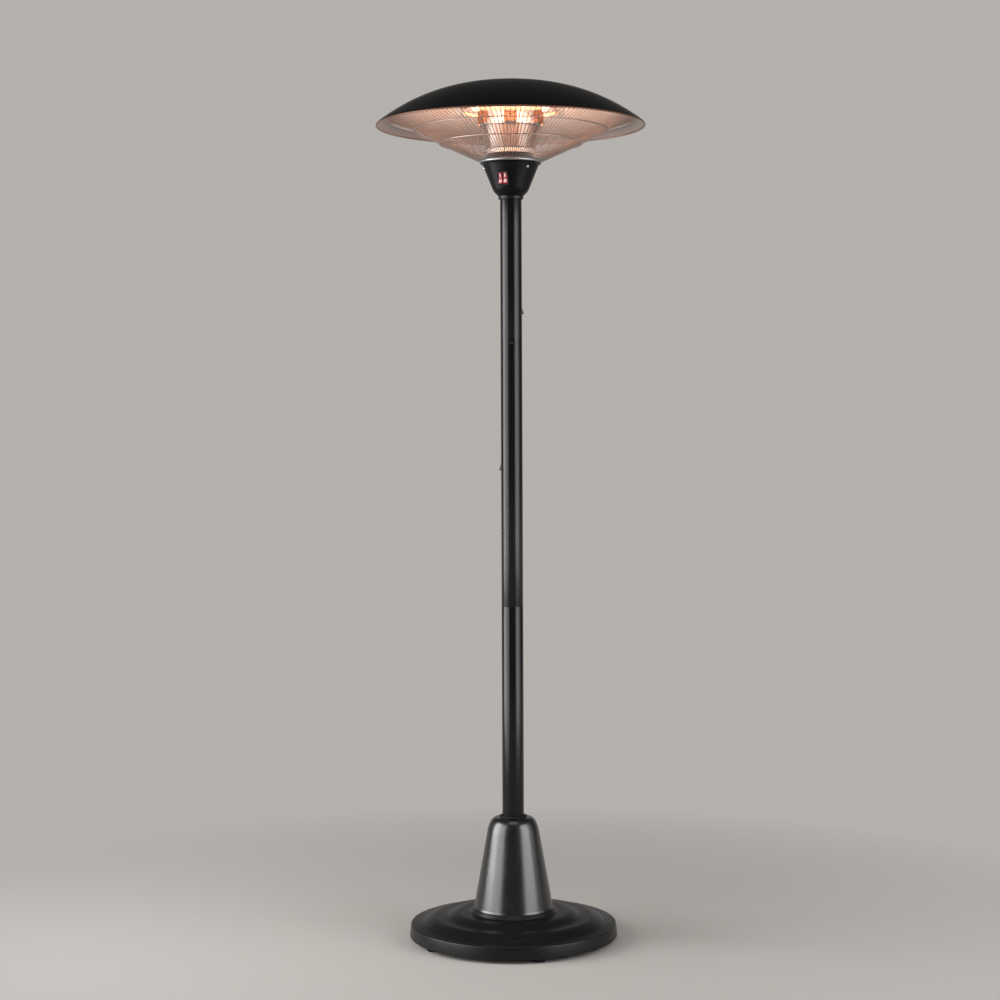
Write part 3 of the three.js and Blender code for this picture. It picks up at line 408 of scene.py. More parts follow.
def zinc_plate():
    """Zinc plate with a faint yellow bloom and fine scratches."""
    finish = Finish("zinc_plate", (0.58, 0.58, 0.58), Metallic=1.0)
    finish.colour(finish.noise(90.0, 5.0), (0.62, 0.62, 0.63), (0.50, 0.48, 0.42))
    scratches = finish.noise(700.0, 2.0, finish.stretched((1.0, 0.08, 1.0)))
    finish.roughness(scratches, 0.26, 0.42)
    finish.bump(scratches, 0.00002, 0.3)
    return finish.material


def heated_plate():
    """Plated sheet that the lamps have browned in patches."""
    finish = Finish("heated_plate", (0.46, 0.21, 0.12), Metallic=0.8)
    finish.colour(finish.noise(75.0, 5.0), (0.50, 0.23, 0.13), (0.37, 0.16, 0.09))
    finish.roughness(finish.noise(500.0), 0.32, 0.48)
    finish.bump(finish.noise(900.0, 2.0, finish.stretched((1.0, 1.0, 0.1))), 0.00002, 0.3)
    return finish.material


def grey_casting():
    finish = Finish("grey_casting", (0.10, 0.10, 0.105), Metallic=0.5)
    finish.colour(finish.noise(30.0, 6.0), (0.12, 0.12, 0.125), (0.06, 0.055, 0.05))
    finish.roughness(finish.noise(200.0), 0.55, 0.8)
    finish.bump(finish.noise(260.0, 6.0), 0.0004, 0.6)
    return finish.material


def black_rubber():
    finish = Finish("black_rubber", (0.008, 0.008, 0.008), Specular_IOR_Level=0.2)
    finish.colour(finish.noise(120.0, 4.0), (0.007, 0.007, 0.007), (0.013, 0.012, 0.012))
    finish.roughness(finish.noise(300.0), 0.62, 0.82)
    finish.bump(finish.noise(900.0, 3.0), 0.00006, 0.5)
    return finish.material


def moulded_black():
    """Moulded plastic with a fine spark-eroded grain."""
    finish = Finish("moulded_black", (0.007, 0.007, 0.008), Specular_IOR_Level=0.2)
    finish.colour(finish.noise(40.0), (0.005, 0.005, 0.006), (0.009, 0.009, 0.010))
    finish.roughness(finish.noise(800.0), 0.40, 0.55)
    finish.bump(finish.cells(2400.0), 0.00003, 0.4)
    return finish.material


def red_moulding():
    finish = Finish("red_moulding", (0.42, 0.010, 0.018), Specular_IOR_Level=0.5, Subsurface_Weight=0.05)
    finish.colour(finish.noise(150.0), (0.44, 0.010, 0.018), (0.33, 0.007, 0.012))
    finish.roughness(finish.noise(600.0), 0.22, 0.32)
    finish.bump(finish.noise(2200.0), 0.00001, 0.3)
    return finish.material


def white_print():
    finish = Finish("white_print", (0.85, 0.83, 0.82))
    finish.colour(finish.noise(500.0), (0.88, 0.86, 0.85), (0.74, 0.72, 0.71))
    finish.roughness(finish.noise(900.0), 0.4, 0.55)
    finish.bump(finish.noise(2500.0), 0.00001, 0.3)
    return finish.material


def fired_ceramic():
    """Unglazed ceramic with specks and a warm cast."""
    finish = Finish("fired_ceramic", (0.80, 0.76, 0.69), Specular_IOR_Level=0.3)
    finish.colour(finish.noise(350.0, 5.0), (0.84, 0.80, 0.73), (0.66, 0.60, 0.52))
    finish.roughness(finish.noise(500.0), 0.55, 0.75)
    finish.bump(finish.noise(1300.0, 4.0), 0.00005, 0.5)
    return finish.material


def turned_brass():
    finish = Finish("turned_brass", (0.62, 0.43, 0.17), Metallic=1.0)
    finish.colour(finish.noise(200.0, 4.0), (0.66, 0.46, 0.19), (0.46, 0.30, 0.12))
    finish.roughness(finish.noise(900.0), 0.24, 0.4)
    finish.bump(finish.noise(1500.0), 0.00002, 0.3)
    return finish.material


def quartz_glass():
    """Drawn quartz tube with faint drawing lines, lit a little by its coil."""
    finish = Finish("quartz_glass", (1.0, 0.93, 0.86), IOR=1.46, Transmission_Weight=1.0,
                    Emission_Color=(1.0, 0.52, 0.28, 1.0), Emission_Strength=QUARTZ_GLOW)
    finish.colour(finish.noise(60.0), (1.0, 0.95, 0.90), (1.0, 0.84, 0.70))
    finish.roughness(finish.noise(220.0), 0.05, 0.16)
    finish.bump(finish.noise(240.0, 2.0), 0.00002, 0.3)
    return finish.material


def glowing_coil():
    """Coil at full heat, a little cooler in patches."""
    finish = Finish("glowing_coil", (0.9, 0.5, 0.25), Emission_Strength=COIL_GLOW)
    patches = finish.ranged(finish.noise(140.0, 3.0), 0.0, 1.0)
    heat = finish.blended(patches, (1.0, 0.58, 0.32), (1.0, 0.68, 0.42))
    finish.put(finish.shader, "Emission Color", heat)
    finish.roughness(finish.noise(500.0), 0.4, 0.6)
    finish.bump(finish.noise(1500.0), 0.00001, 0.3)
    return finish.material


# ---------- outlines and meshes ----------
def steps(start, end, count):
    """Values at even steps from start to end."""
    return [start + (end - start) * i / count for i in range(count + 1)]


def rounded(corners, facets=6):
    """A path of (radius, height) through (radius, height, fillet) corners, each corner with its fillet."""
    path = []
    for i, (radius, height, fillet) in enumerate(corners):
        corner = Vector((radius, height))
        if fillet == 0 or i in (0, len(corners) - 1):
            path.append(corner)
            continue
        back = (Vector(corners[i - 1][:2]) - corner).normalized()
        ahead = (Vector(corners[i + 1][:2]) - corner).normalized()
        half = back.angle(ahead) / 2
        centre = corner + (back + ahead).normalized() * fillet / math.sin(half)
        first = corner + back * fillet / math.tan(half) - centre
        last = corner + ahead * fillet / math.tan(half) - centre
        start = math.atan2(first.y, first.x)
        turn = (math.atan2(last.y, last.x) - start + math.pi) % (2 * math.pi) - math.pi
        for angle in steps(start, start + turn, facets):
            path.append(centre + Vector((math.cos(angle), math.sin(angle))) * fillet)
    return path


def plain(points):
    """Corners with no fillet."""
    return [(radius, height, 0) for radius, height in points]


def offset(path, distance):
    """The path moved to its right-hand side, as seen along its direction."""
    shifted = []
    for i, point in enumerate(path):
        sides = []
        for start, end in ((path[max(i - 1, 0)], point), (point, path[min(i + 1, len(path) - 1)])):
            along = Vector(end) - Vector(start)
            if along.length > 1e-9:
                sides.append(Vector((along.y, -along.x)).normalized())
        mean = sum(sides, Vector((0, 0))).normalized()
        shifted.append(Vector(point) + mean * distance / mean.dot(sides[0]))
    return shifted


def sheet_section(path, thickness):
    """The closed outline of a pressed sheet whose outer face follows the path."""
    return [*path, *reversed(offset(path, thickness))]


def tube_section(radius, wall, bottom, top, edge=TUBE_EDGE):
    return rounded([
        (radius - wall, bottom, 0), (radius, bottom, edge), (radius, top, edge), (radius - wall, top, 0),
    ], 3)


def bezier(start, control, end, facets):
    return [
        tuple((1 - t) ** 2 * a + 2 * t * (1 - t) * b + t * t * c for a, b, c in zip(start, control, end))
        for t in steps(0, 1, facets)
    ]


def mesh_from(form, name="form"):
    bmesh.ops.recalc_face_normals(form, faces=form.faces)
    mesh = bpy.data.meshes.new(name)
    form.to_mesh(mesh)
    form.free()
    return mesh


def revolved(outline, sides=ROUND):
    """A solid turned about the pole's axis from an outline that is closed or ends on the axis."""
    form = bmesh.new()
    rings = []
    for radius, height in outline:
        angles = [2 * math.pi * turn / sides for turn in range(sides if radius > 1e-6 else 1)]
        rings.append([form.verts.new((radius * math.cos(a), radius * math.sin(a), height)) for a in angles])
    for here, there in zip(rings, rings[1:] + rings[:1]):
        if len(here) == len(there) == 1:
            continue
        for i in range(sides):
            j = (i + 1) % sides
            corners = (here[i % len(here)], here[j % len(here)], there[j % len(there)], there[i % len(there)])
            form.faces.new(dict.fromkeys(corners))
    return mesh_from(form)


def block(size, centre=(0, 0, 0)):
    form = bmesh.new()
    bmesh.ops.create_cube(form, size=1, matrix=Matrix.Translation(centre) @ Matrix.Diagonal((*size, 1)))
    return mesh_from(form)


def prism(outline, depth):
    """A flat outline of (x, y) points extruded to both sides of z = 0."""
    form = bmesh.new()
    lower = [form.verts.new((x, y, -depth / 2)) for x, y in outline]
    upper = [form.verts.new((x, y, depth / 2)) for x, y in outline]
    form.faces.new(reversed(lower))
    form.faces.new(upper)
    for i in range(len(outline)):
        j = (i + 1) % len(outline)
        form.faces.new((lower[i], lower[j], upper[j], upper[i]))
    return mesh_from(form)


def path_mesh(points):
    mesh = bpy.data.meshes.new("path")
    mesh.from_pydata(points, [(i, i + 1) for i in range(len(points) - 1)], [])
    return mesh


def moved(mesh, *matrices):
    """The mesh moved by the product of the matrices."""
    product = Matrix.Identity(4)
    for matrix in matrices:
        product = product @ matrix
    mesh.transform(product)
    return mesh


def shift(*place):
    return Matrix.Translation(place)


def turn_about(axis, degrees):
    return Matrix.Rotation(math.radians(degrees), 4, axis)


def joined(*meshes):
    """One mesh of them all, with its faces outwards."""
    form = bmesh.new()
    for mesh in meshes:
        form.from_mesh(mesh)
    return mesh_from(form)


def placed(name, data, place=(0, 0, 0)):
    """A new object in the scene."""
    item = bpy.data.objects.new(name, data)
    item.location = place
    bpy.context.scene.collection.objects.link(item)
    return item


def made_plain(carrier):
    """The evaluated mesh of an object, which is then removed with its modifiers."""
    graph = bpy.context.evaluated_depsgraph_get()
    mesh = bpy.data.meshes.new_from_object(carrier.evaluated_get(graph), depsgraph=graph)
    bpy.data.objects.remove(carrier)
    return mesh


def bevelled(mesh, width, segments=3):
    carrier = placed("carrier", mesh)
    bevel = carrier.modifiers.new("bevel", "BEVEL")
    bevel.width = width
    bevel.segments = segments
    bevel.limit_method = "ANGLE"
    return made_plain(carrier)


def combined(mesh, tool, operation="DIFFERENCE"):
    """The mesh with the tool cut from it, or joined to it."""
    carrier = placed("carrier", mesh)
    other = placed("carrier", tool)
    boolean = carrier.modifiers.new("boolean", "BOOLEAN")
    boolean.object = other
    boolean.operation = operation
    boolean.solver = "EXACT"
    result = made_plain(carrier)
    bpy.data.objects.remove(other)
    return result


def outside_frame(azimuth, radius, height, lean=0.0):
    """A place on the outside: X to the right, Y up the surface and Z straight out of it."""
    angle = math.radians(azimuth)
    out = Vector((math.sin(angle), -math.cos(angle), 0))
    right = Vector((math.cos(angle), math.sin(angle), 0))
    along = out * math.sin(lean) + Vector((0, 0, math.cos(lean)))
    place = Matrix((right, along, right.cross(along))).transposed().to_4x4()
    place.translation = out * radius + Vector((0, 0, height))
    return place


# ---------- geometry node trees ----------
class Shaper(Nodes):
    """A geometry node tree with named inputs, the last of which is the material."""

    def __init__(self, name, inputs):
        super().__init__(bpy.data.node_groups.new(name, "GeometryNodeTree"))
        sockets = self.tree.interface
        self.identifiers = {}
        for label, kind in {**inputs, "Material": "Material"}.items():
            socket = sockets.new_socket(label, in_out="INPUT", socket_type=f"NodeSocket{kind}")
            self.identifiers[label] = socket.identifier
        sockets.new_socket("Geometry", in_out="OUTPUT", socket_type="NodeSocketGeometry")
        self.given = self.tree.nodes.new("NodeGroupInput").outputs

    def round_axis(self, geometry, count, step):
        """Copies about the pole's axis, each turned on by one more step."""
        angle = self.computed("MULTIPLY", self.add("GeometryNodeInputIndex"), step)
        euler = self.add("ShaderNodeCombineXYZ", {"Z": angle})
        turn = self.add("FunctionNodeEulerToRotation", {"Euler": euler})
        points = self.add("GeometryNodePoints", {"Count": count})
        inputs = {"Points": points, "Instance": geometry, "Rotation": turn}
        return self.add("GeometryNodeInstanceOnPoints", inputs)

    def swept(self, curve, radius, sides):
        """A round wire along a curve, with closed ends."""
        profile = self.add("GeometryNodeCurvePrimitiveCircle", {"Resolution": sides, "Radius": radius})
        wire = {"Curve": curve, "Profile Curve": profile, "Fill Caps": True}
        return self.add("GeometryNodeCurveToMesh", wire)

    def finish(self, *geometries):
        """Joins the geometries, makes the instances real and gives them the material."""
        join = self.tree.nodes.new("GeometryNodeJoinGeometry")
        for geometry in geometries:
            self.put(join, 0, geometry)
        real = self.add("GeometryNodeRealizeInstances", {"Geometry": join.outputs[0]})
        dressed = self.add("GeometryNodeSetMaterial", {"Geometry": real, "Material": self.given["Material"]})
        self.put(self.tree.nodes.new("NodeGroupOutput"), 0, dressed)
        return self

    def applied(self, mesh, values):
        """Runs the tree on a mesh and returns the plain result."""
        carrier = placed("carrier", mesh)
        modifier = carrier.modifiers.new(self.tree.name, "NODES")
        modifier.node_group = self.tree
        for label, value in values.items():
            modifier[self.identifiers[label]] = value
        return made_plain(carrier)


def turned_copies_tree():
    tree = Shaper("turned_copies", {"Geometry": "Geometry", "Count": "Int", "Step": "Float"})
    return tree.finish(tree.round_axis(tree.given["Geometry"], tree.given["Count"], tree.given["Step"]))


copies = turned_copies_tree()


def turned_copies(mesh, count, finish):
    """Copies of a mesh, evenly spaced about the pole's axis."""
    return copies.applied(mesh, {"Count": count, "Step": 2 * math.pi / count, "Material": finish})


def guard_tree(rings):
    """A cone of wires swept along one path, with rings that hold them together."""
    inputs = {"Path": "Geometry", "Wires": "Int", "Wire radius": "Float", "Step": "Float"}
    for ring in range(rings):
        for size in ("radius", "height", "wire"):
            inputs[f"Ring {ring} {size}"] = "Float"
    tree = Shaper("guard", inputs)
    given = tree.given
    path = tree.add("GeometryNodeMeshToCurve", {"Mesh": given["Path"]})
    wire = tree.swept(path, given["Wire radius"], WIRE_SIDES)
    parts = [tree.round_axis(wire, given["Wires"], given["Step"])]
    for ring in range(rings):
        size = {"Resolution": GUARD_RING_ROUND, "Radius": given[f"Ring {ring} radius"]}
        circle = tree.add("GeometryNodeCurvePrimitiveCircle", size)
        lift = tree.add("ShaderNodeCombineXYZ", {"Z": given[f"Ring {ring} height"]})
        lifted = tree.add("GeometryNodeTransform", {"Geometry": circle, "Translation": lift})
        parts.append(tree.swept(lifted, given[f"Ring {ring} wire"], GUARD_RING_SIDES))
    return tree.finish(*parts)


def coil_tree():
    """A wound wire along Z, from the origin upwards."""
    sizes = ("Turns", "Radius", "Length", "Wire")
    tree = Shaper("coil", {"Geometry": "Geometry", **{size: "Float" for size in sizes}})
    turns, radius, length, wire = (tree.given[size] for size in sizes)
    spiral = tree.add("GeometryNodeCurveSpiral", {
        "Resolution": COIL_ROUND, "Rotations": turns, "Start Radius": radius, "End Radius": radius,
        "Height": length,
    })
    return tree.finish(tree.swept(spiral, wire, COIL_SIDES))


# ---------- pieces ----------
def add_piece(name, mesh, finish, slot, *replaced, body=MAIN_BODY, sharp=34.0):
    """Puts a finished mesh into the scene with smooth faces, sharp creases and its place in the frame."""
    if finish:
        mesh.materials.clear()
        mesh.materials.append(finish)
    mesh.name = name
    mesh.polygons.foreach_set("use_smooth", [True] * len(mesh.polygons))
    mesh.set_sharp_from_angle(angle=math.radians(sharp))
    piece = placed(name, mesh)
    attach(piece, body)
    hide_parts(*replaced)


def numbered(stem, count):
    return [f"{stem}_{i + 1}" for i in range(count)]


def pressed_step(outer, inner, foot, crest):
    """A pressed step, level at its crest and steepest at its foot."""
    return plain(
        (outer + (inner - outer) * share, foot + (crest - foot) * math.sin(share * math.pi / 2))
        for share in steps(1, 0, 14))


def base_cover(finish):
    low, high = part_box("base_cover")
    second_top = high.z - BOSS_RISE
    first_top = second_top - SECOND_STEP_RISE
    flat_top = first_top - FIRST_STEP_RISE
    path = rounded([
        (COVER_HOLE, high.z, 0),
        (BOSS_RADIUS, high.z, 0.003),
        (BOSS_FOOT, second_top, 0.004),
        *pressed_step(*SECOND_STEP, first_top, second_top),
        *pressed_step(*FIRST_STEP, flat_top, first_top),
        (high.x - RIM_LEAN, flat_top - OUTER_FLAT_RISE, 0.0035),
        (high.x, low.z, 0.0018),
        (high.x - LIP_WIDTH, low.z, 0),
    ])
    cover = revolved(sheet_section(path, COVER_SHEET))
    add_piece("base_cover_shell", cover, finish, "satin_black_steel", "base_cover")


def feet(finish):
    """Rubber feet with a grooved sole and a stem that goes up into the weight."""
    low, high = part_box("foot_1")
    radius = (high.x - low.x) / 2
    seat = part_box("base_weight")[0].z - SEAT_GAP
    corners = [  # shares of the radius, heights and fillets
        (0, 0, 0), (0.45, 0, 0.0008), (0.5, FOOT_GROOVE, 0.0008), (0.72, FOOT_GROOVE, 0.0008),
        (0.77, 0, 0.0008), (0.95, 0, 0.0012), (1, seat * 0.4, 0.002), (0.97, seat, 0.0012),
        (1 / 3, seat, 0.0005), (1 / 3, high.z, 0.001), (0, high.z, 0),
    ]
    outline = rounded([(radius * share, height, fillet) for share, height, fillet in corners], 4)
    foot = moved(revolved(outline, SMALL_ROUND), shift((low.x + high.x) / 2, (low.y + high.y) / 2, 0))
    count = len([node for node in frame["nodes"] if node.startswith("foot_")])
    add_piece("rubber_feet", turned_copies(foot, count, finish), finish, "rubber", *numbered("foot", count))


def pole(finish):
    for part in ("lower", "middle", "upper"):
        node = f"pole_{part}"
        low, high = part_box(node)
        section = tube_section(high.x, POLE_WALL, low.z - JOINT_CLOSING, high.z + JOINT_CLOSING)
        add_piece(f"{node}_tube", revolved(section, POLE_ROUND), finish, "gloss_black_steel", node)


def pole_flange(finish):
    low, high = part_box("pole_flange")
    plate_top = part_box("pole_lower")[0].z - SEAT_GAP
    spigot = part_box("joint_sleeve_lower")[1].x
    bore = spigot - SPIGOT_WALL
    section = rounded([
        (bore, low.z, 0), (high.x, low.z, 0.0006), (high.x, plate_top, 0.0015),
        (spigot, plate_top, 0.0005), (spigot, high.z, 0.001), (bore, high.z, 0),
    ], 4)
    add_piece("pole_foot_flange", revolved(section, POLE_ROUND), finish, "plated_steel", "pole_flange")


def bell_cover(finish):
    low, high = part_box("bell_cover")

    def wall(height):
        return high.x - BELL_TAPER * (height - low.z)

    shoulder = high.z - BELL_SHOULDER
    tuck, flare = BELL_FLARE
    path = rounded([
        (BELL_HOLE, high.z, 0),
        *plain(bezier((BELL_TOP_RADIUS, high.z), (wall(high.z), high.z), (wall(shoulder), shoulder), 20)),
        (wall(low.z + flare) - tuck, low.z + flare, 0.006),
        (high.x, low.z, 0),
    ])
    bell = revolved(sheet_section(path, BELL_SHEET))
    add_piece("bell_cover_shell", bell, finish, "gloss_black_steel", "bell_cover", body=BELL_BODY)


def bell_collar(finish):
    """The rubber collar that closes the bell's hole against the pole."""
    low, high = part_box("bell_grommet")
    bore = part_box("pole_lower")[1].x + COLLAR_GAP
    neck = BELL_HOLE - SEAT_GAP
    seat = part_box("bell_cover")[1].z + SEAT_GAP
    section = rounded([
        (bore, low.z, 0), (neck, low.z, 0.0004), (neck, seat, 0.0002), (high.x, seat, 0.0006),
        (high.x - COLLAR_LEAN, high.z, 0.0022), (bore, high.z, 0),
    ], 5)
    collar = revolved(section, POLE_ROUND)
    add_piece("bell_collar", collar, finish, "rubber", "bell_grommet", body=BELL_BODY)


def screw_mesh(shank, length, head, rise):
    """A pan-head screw that stands on z = 0, with a cross recess, in shares of its head's radius and rise."""
    screw = revolved(rounded([
        (0, -length, 0), (shank, -length, 0.0004), (shank, SEAT_GAP, 0), (head, SEAT_GAP, 0.0002),
        (head, SEAT_GAP + rise * 0.45, rise * 0.35), (head * 0.62, SEAT_GAP + rise, rise * 0.5),
        (0, SEAT_GAP + rise, 0),
    ], 5), SCREW_ROUND)
    for across, along in ((1.1, 0.24), (0.24, 1.1)):
        screw = combined(screw, block((head * across, head * along, rise), (0, 0, SEAT_GAP + rise)))
    return screw


def lock_screws(finish):
    pole_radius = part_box("pole_lower")[1].x
    for part, azimuth in LOCK_SCREW_AZIMUTHS.items():
        node = f"lock_screw_{part}"
        low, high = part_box(node)
        screw = moved(screw_mesh(*LOCK_SCREW), outside_frame(azimuth, pole_radius, (low.z + high.z) / 2))
        add_piece(f"pole_{node}", screw, finish, "satin_black_steel", node)


def clip_outline():
    """An open ring whose two ends turn out to make a mouth."""
    centre = SEAT_GAP + CLIP_PAD[1] + CLIP_BORE
    mouth = math.radians(CLIP_MOUTH)
    turns = steps(math.pi / 2 + mouth, 5 * math.pi / 2 - mouth, 28)

    def arc(radius, angles):
        return [(math.cos(t) * radius, centre + math.sin(t) * radius) for t in angles]

    across, up = arc(CLIP_BORE + CLIP_WALL / 2, turns)[0]
    lip = (across - CLIP_LIP[0], up + CLIP_LIP[1])
    return [*arc(CLIP_BORE + CLIP_WALL, turns), (-lip[0], lip[1]), *arc(CLIP_BORE, reversed(turns)), lip]


def cord_clips(finish):
    """Spring clips with an open mouth and a rounded pad against the pole."""
    pole_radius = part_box("pole_middle")[1].x
    pad_width, pad = CLIP_PAD
    upright = Matrix(((1, 0, 0, 0), (0, 0, 1, 0), (0, 1, 0, 0), (0, 0, 0, 1)))
    for part, azimuth in CLIP_AZIMUTHS.items():
        node = f"cord_clip_{part}"
        low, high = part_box(node)
        height = high.z - low.z
        foot = block((pad_width, pad, height), (0, SEAT_GAP + pad / 2, 0))
        clip = bevelled(combined(prism(clip_outline(), height), foot, "UNION"), CLIP_BEVEL, 2)
        for corner in clip.vertices:
            out = max(corner.co.y - SEAT_GAP, 0)
            corner.co.y -= out * CLIP_SLANT * (0.5 + corner.co.z / height)
        clip = joined(moved(clip, outside_frame(azimuth, pole_radius, (low.z + high.z) / 2), upright))
        add_piece(f"{node}_moulding", clip, finish, "black_plastic", node)


# ---------- switch housing ----------
def housing_lean():
    low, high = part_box("switch_housing")
    return math.atan((HOUSING_TOP_RADIUS - BOWL[0][0]) / (high.z - low.z - BOWL[0][1]))


def housing_frame(azimuth, height):
    """A place on the housing's leaning wall."""
    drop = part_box("switch_housing")[1].z - height
    radius = HOUSING_TOP_RADIUS - drop * math.tan(housing_lean())
    return outside_frame(azimuth, radius, height, housing_lean())


def switch_place():
    return housing_frame(SWITCH_AZIMUTH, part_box("switch_housing")[0].z + SWITCH_RISE)


def inlet_place():
    """The cord inlet's face at the back of the housing, with Z out of it."""
    low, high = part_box("cord_gland")
    face = high.y - SEAT_GAP - GLAND_RISE
    return shift(0, face, (low.z + high.z) / 2) @ turn_about("X", -90)


def switch_housing(finish):
    low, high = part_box("switch_housing")
    fall = 2 * HOUSING_SHEET
    path = rounded([
        (high.x, high.z - HOUSING_SHEET, 0),
        (HOUSING_TOP_RADIUS - fall * math.tan(housing_lean()), high.z - fall, 0.001),
        *plain(bezier(*((radius, low.z + rise) for radius, rise in BOWL), 16)),
        (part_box("pole_upper")[1].x + HOUSING_PLAY, low.z, 0),
    ])
    flange_inner = HOUSING_TOP_RADIUS - HOUSING_SHEET - SEAT_GAP / 2
    shell = revolved([
        (high.x - HOUSING_EDGE, high.z), (high.x, high.z - HOUSING_EDGE), *path,
        *reversed(offset(path[1:], HOUSING_SHEET)), (flange_inner, high.z),
    ])
    bore, radius, depth = INLET
    inlet = revolved(rounded([
        (bore, -depth, 0), (radius, -depth, 0), (radius, 0, 0.0008), (bore, 0, 0),
    ]), SMALL_ROUND)
    shell = combined(shell, moved(inlet, inlet_place()), "UNION")
    shell = combined(shell, moved(block(SWITCH_OPENING), switch_place()))
    add_piece("switch_housing_bowl", shell, finish, "gloss_black_steel", "switch_housing")


def neck_collar(finish):
    low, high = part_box("neck_collar")
    wall = high.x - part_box("pole_upper")[1].x - HOUSING_PLAY
    ring = revolved(tube_section(high.x, wall, low.z, high.z, 0.0008), POLE_ROUND)
    add_piece("pole_neck_collar", ring, finish, "satin_black_steel", "neck_collar")


def cord_gland(finish):
    bore, stud, depth = GLAND_STUD
    lean, shoulder = GLAND_SHOULDER
    widening, funnel = GLAND_FUNNEL
    top = SEAT_GAP + GLAND_RISE
    gland = revolved(rounded([
        (bore, -depth, 0), (stud, -depth, 0.0004), (stud, SEAT_GAP, 0), (GLAND_HEAD, SEAT_GAP, 0.0004),
        (GLAND_HEAD - lean, SEAT_GAP + shoulder, 0.0012), (stud + widening, top, 0.0008), (bore, top, 0.0005),
        (bore + widening, funnel - depth, 0),
    ]), SMALL_ROUND)
    add_piece("cord_inlet_gland", moved(gland, inlet_place()), finish, "black_plastic", "cord_gland")


def housing_screws(finish):
    """Screws at even angles, the first of them at the right of the front."""
    place = housing_frame(SCREW_AZIMUTH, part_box("switch_housing")[1].z - SCREW_DROP)
    count = len([node for node in frame["nodes"] if node.startswith("housing_screw_")])
    screws = turned_copies(moved(screw_mesh(*HOUSING_SCREW), place), count, finish)
    add_piece("housing_screw_set", screws, finish, "plated_steel", *numbered("housing_screw", count))


def housing_lid(finish):
    low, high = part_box("housing_lid")
    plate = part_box("switch_housing")[1].z + SEAT_GAP
    inner = LID_BOSS_RADIUS - LID_SHEET
    slope_foot, slope_head, fall = LID_SLOPE
    outline = rounded([
        (TUBE_BORE, high.z - LID_SHEET, 0), (inner, high.z - LID_SHEET, 0.001),
        (inner, low.z, 0), (inner + LID_SKIRT, low.z, 0),
        (HOUSING_TOP_RADIUS - slope_foot, plate - fall, 0), (HOUSING_TOP_RADIUS - slope_head, plate, 0.0004),
        (high.x, plate, 0.0003), (high.x, plate + LID_SHEET, 0.0008),
        (LID_BOSS_RADIUS, plate + LID_SHEET, 0.0015), (LID_BOSS_RADIUS, high.z, 0.0014),
        (TUBE_BORE, high.z, 0),
    ], 4)
    add_piece("housing_lid_moulding", revolved(outline), finish, "black_plastic", "housing_lid")


def rocker_mesh(finish, print_finish):
    """A rocker with a hollowed face and a bar and a ring printed on it, with its pivot at the origin."""
    valley, end = ROCKER_FACE
    half, depth = ROCKER_BODY
    side = ROCKER_HALF - ROCKER_DRAFT
    face = [
        (along, valley + (end - valley) * abs(share) ** 1.6)
        for along, share in zip(steps(ROCKER_HALF, -ROCKER_HALF, 16), steps(1, -1, 16))
    ]
    rocker = prism([(-half, -depth), (half, -depth), (side, 0), *face, (-side, 0)], ROCKER_WIDTH)
    rocker = moved(rocker, Matrix(((0, 0, 1, 0), (1, 0, 0, 0), (0, 1, 0, 0), (0, 0, 0, 1))))
    rocker = bevelled(rocker, ROCKER_BEVEL)
    slope = Matrix.Rotation(math.atan((end - valley) / ROCKER_HALF), 4, "X")
    bar = moved(block(PRINTED_BAR), shift(*PRINTED_BAR_PLACE), slope)
    radius, wall, thickness = PRINTED_RING
    ring = revolved(tube_section(radius, wall, -thickness / 2, thickness / 2, 0), SCREW_ROUND)
    ring = moved(ring, shift(*PRINTED_RING_PLACE), slope.inverted())
    for mark in (bar, ring):
        mark.polygons.foreach_set("material_index", [1] * len(mark.polygons))
    whole = joined(rocker, bar, ring)
    whole.materials.append(finish)
    whole.materials.append(print_finish)
    return whole


def rocker_switch(plastic, red, white):
    place = switch_place()
    thickness = BEZEL_SIZE[2]
    top = SEAT_GAP + thickness + 0.001
    body = bevelled(block(BEZEL_SIZE, (0, 0, SEAT_GAP + thickness / 2)), BEZEL_BEVEL)
    body = combined(body, block(SWITCH_BODY, (0, 0, -SWITCH_BODY_DEPTH)), "UNION")
    width, length, depth = ROCKER_SLOT
    for side in (-1, 1):
        slot = block((width, length, depth + top), (side * ROCKER_PITCH / 2, 0, (top - depth) / 2))
        body = combined(body, slot)
    add_piece("rocker_switch_body", moved(body, place), plastic, "black_plastic", "switch_body")
    joints = {joint["name"]: joint for joint in frame["joints"]}
    for name in ("left", "right"):
        pivot = shift(*joints[f"rocker_{name}_press"]["pos_m"])
        rocker = moved(rocker_mesh(red, white), pivot, place.to_3x3().to_4x4(), turn_about("X", ROCKER_TILT))
        add_piece(f"red_rocker_{name}", rocker, None, "red_rocker", f"rocker_{name}", body=f"{name}_rocker")


# ---------- head ----------
def rim_height():
    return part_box("hood_lining")[0].z + ROLLED_EDGE * ROLL_LIFT


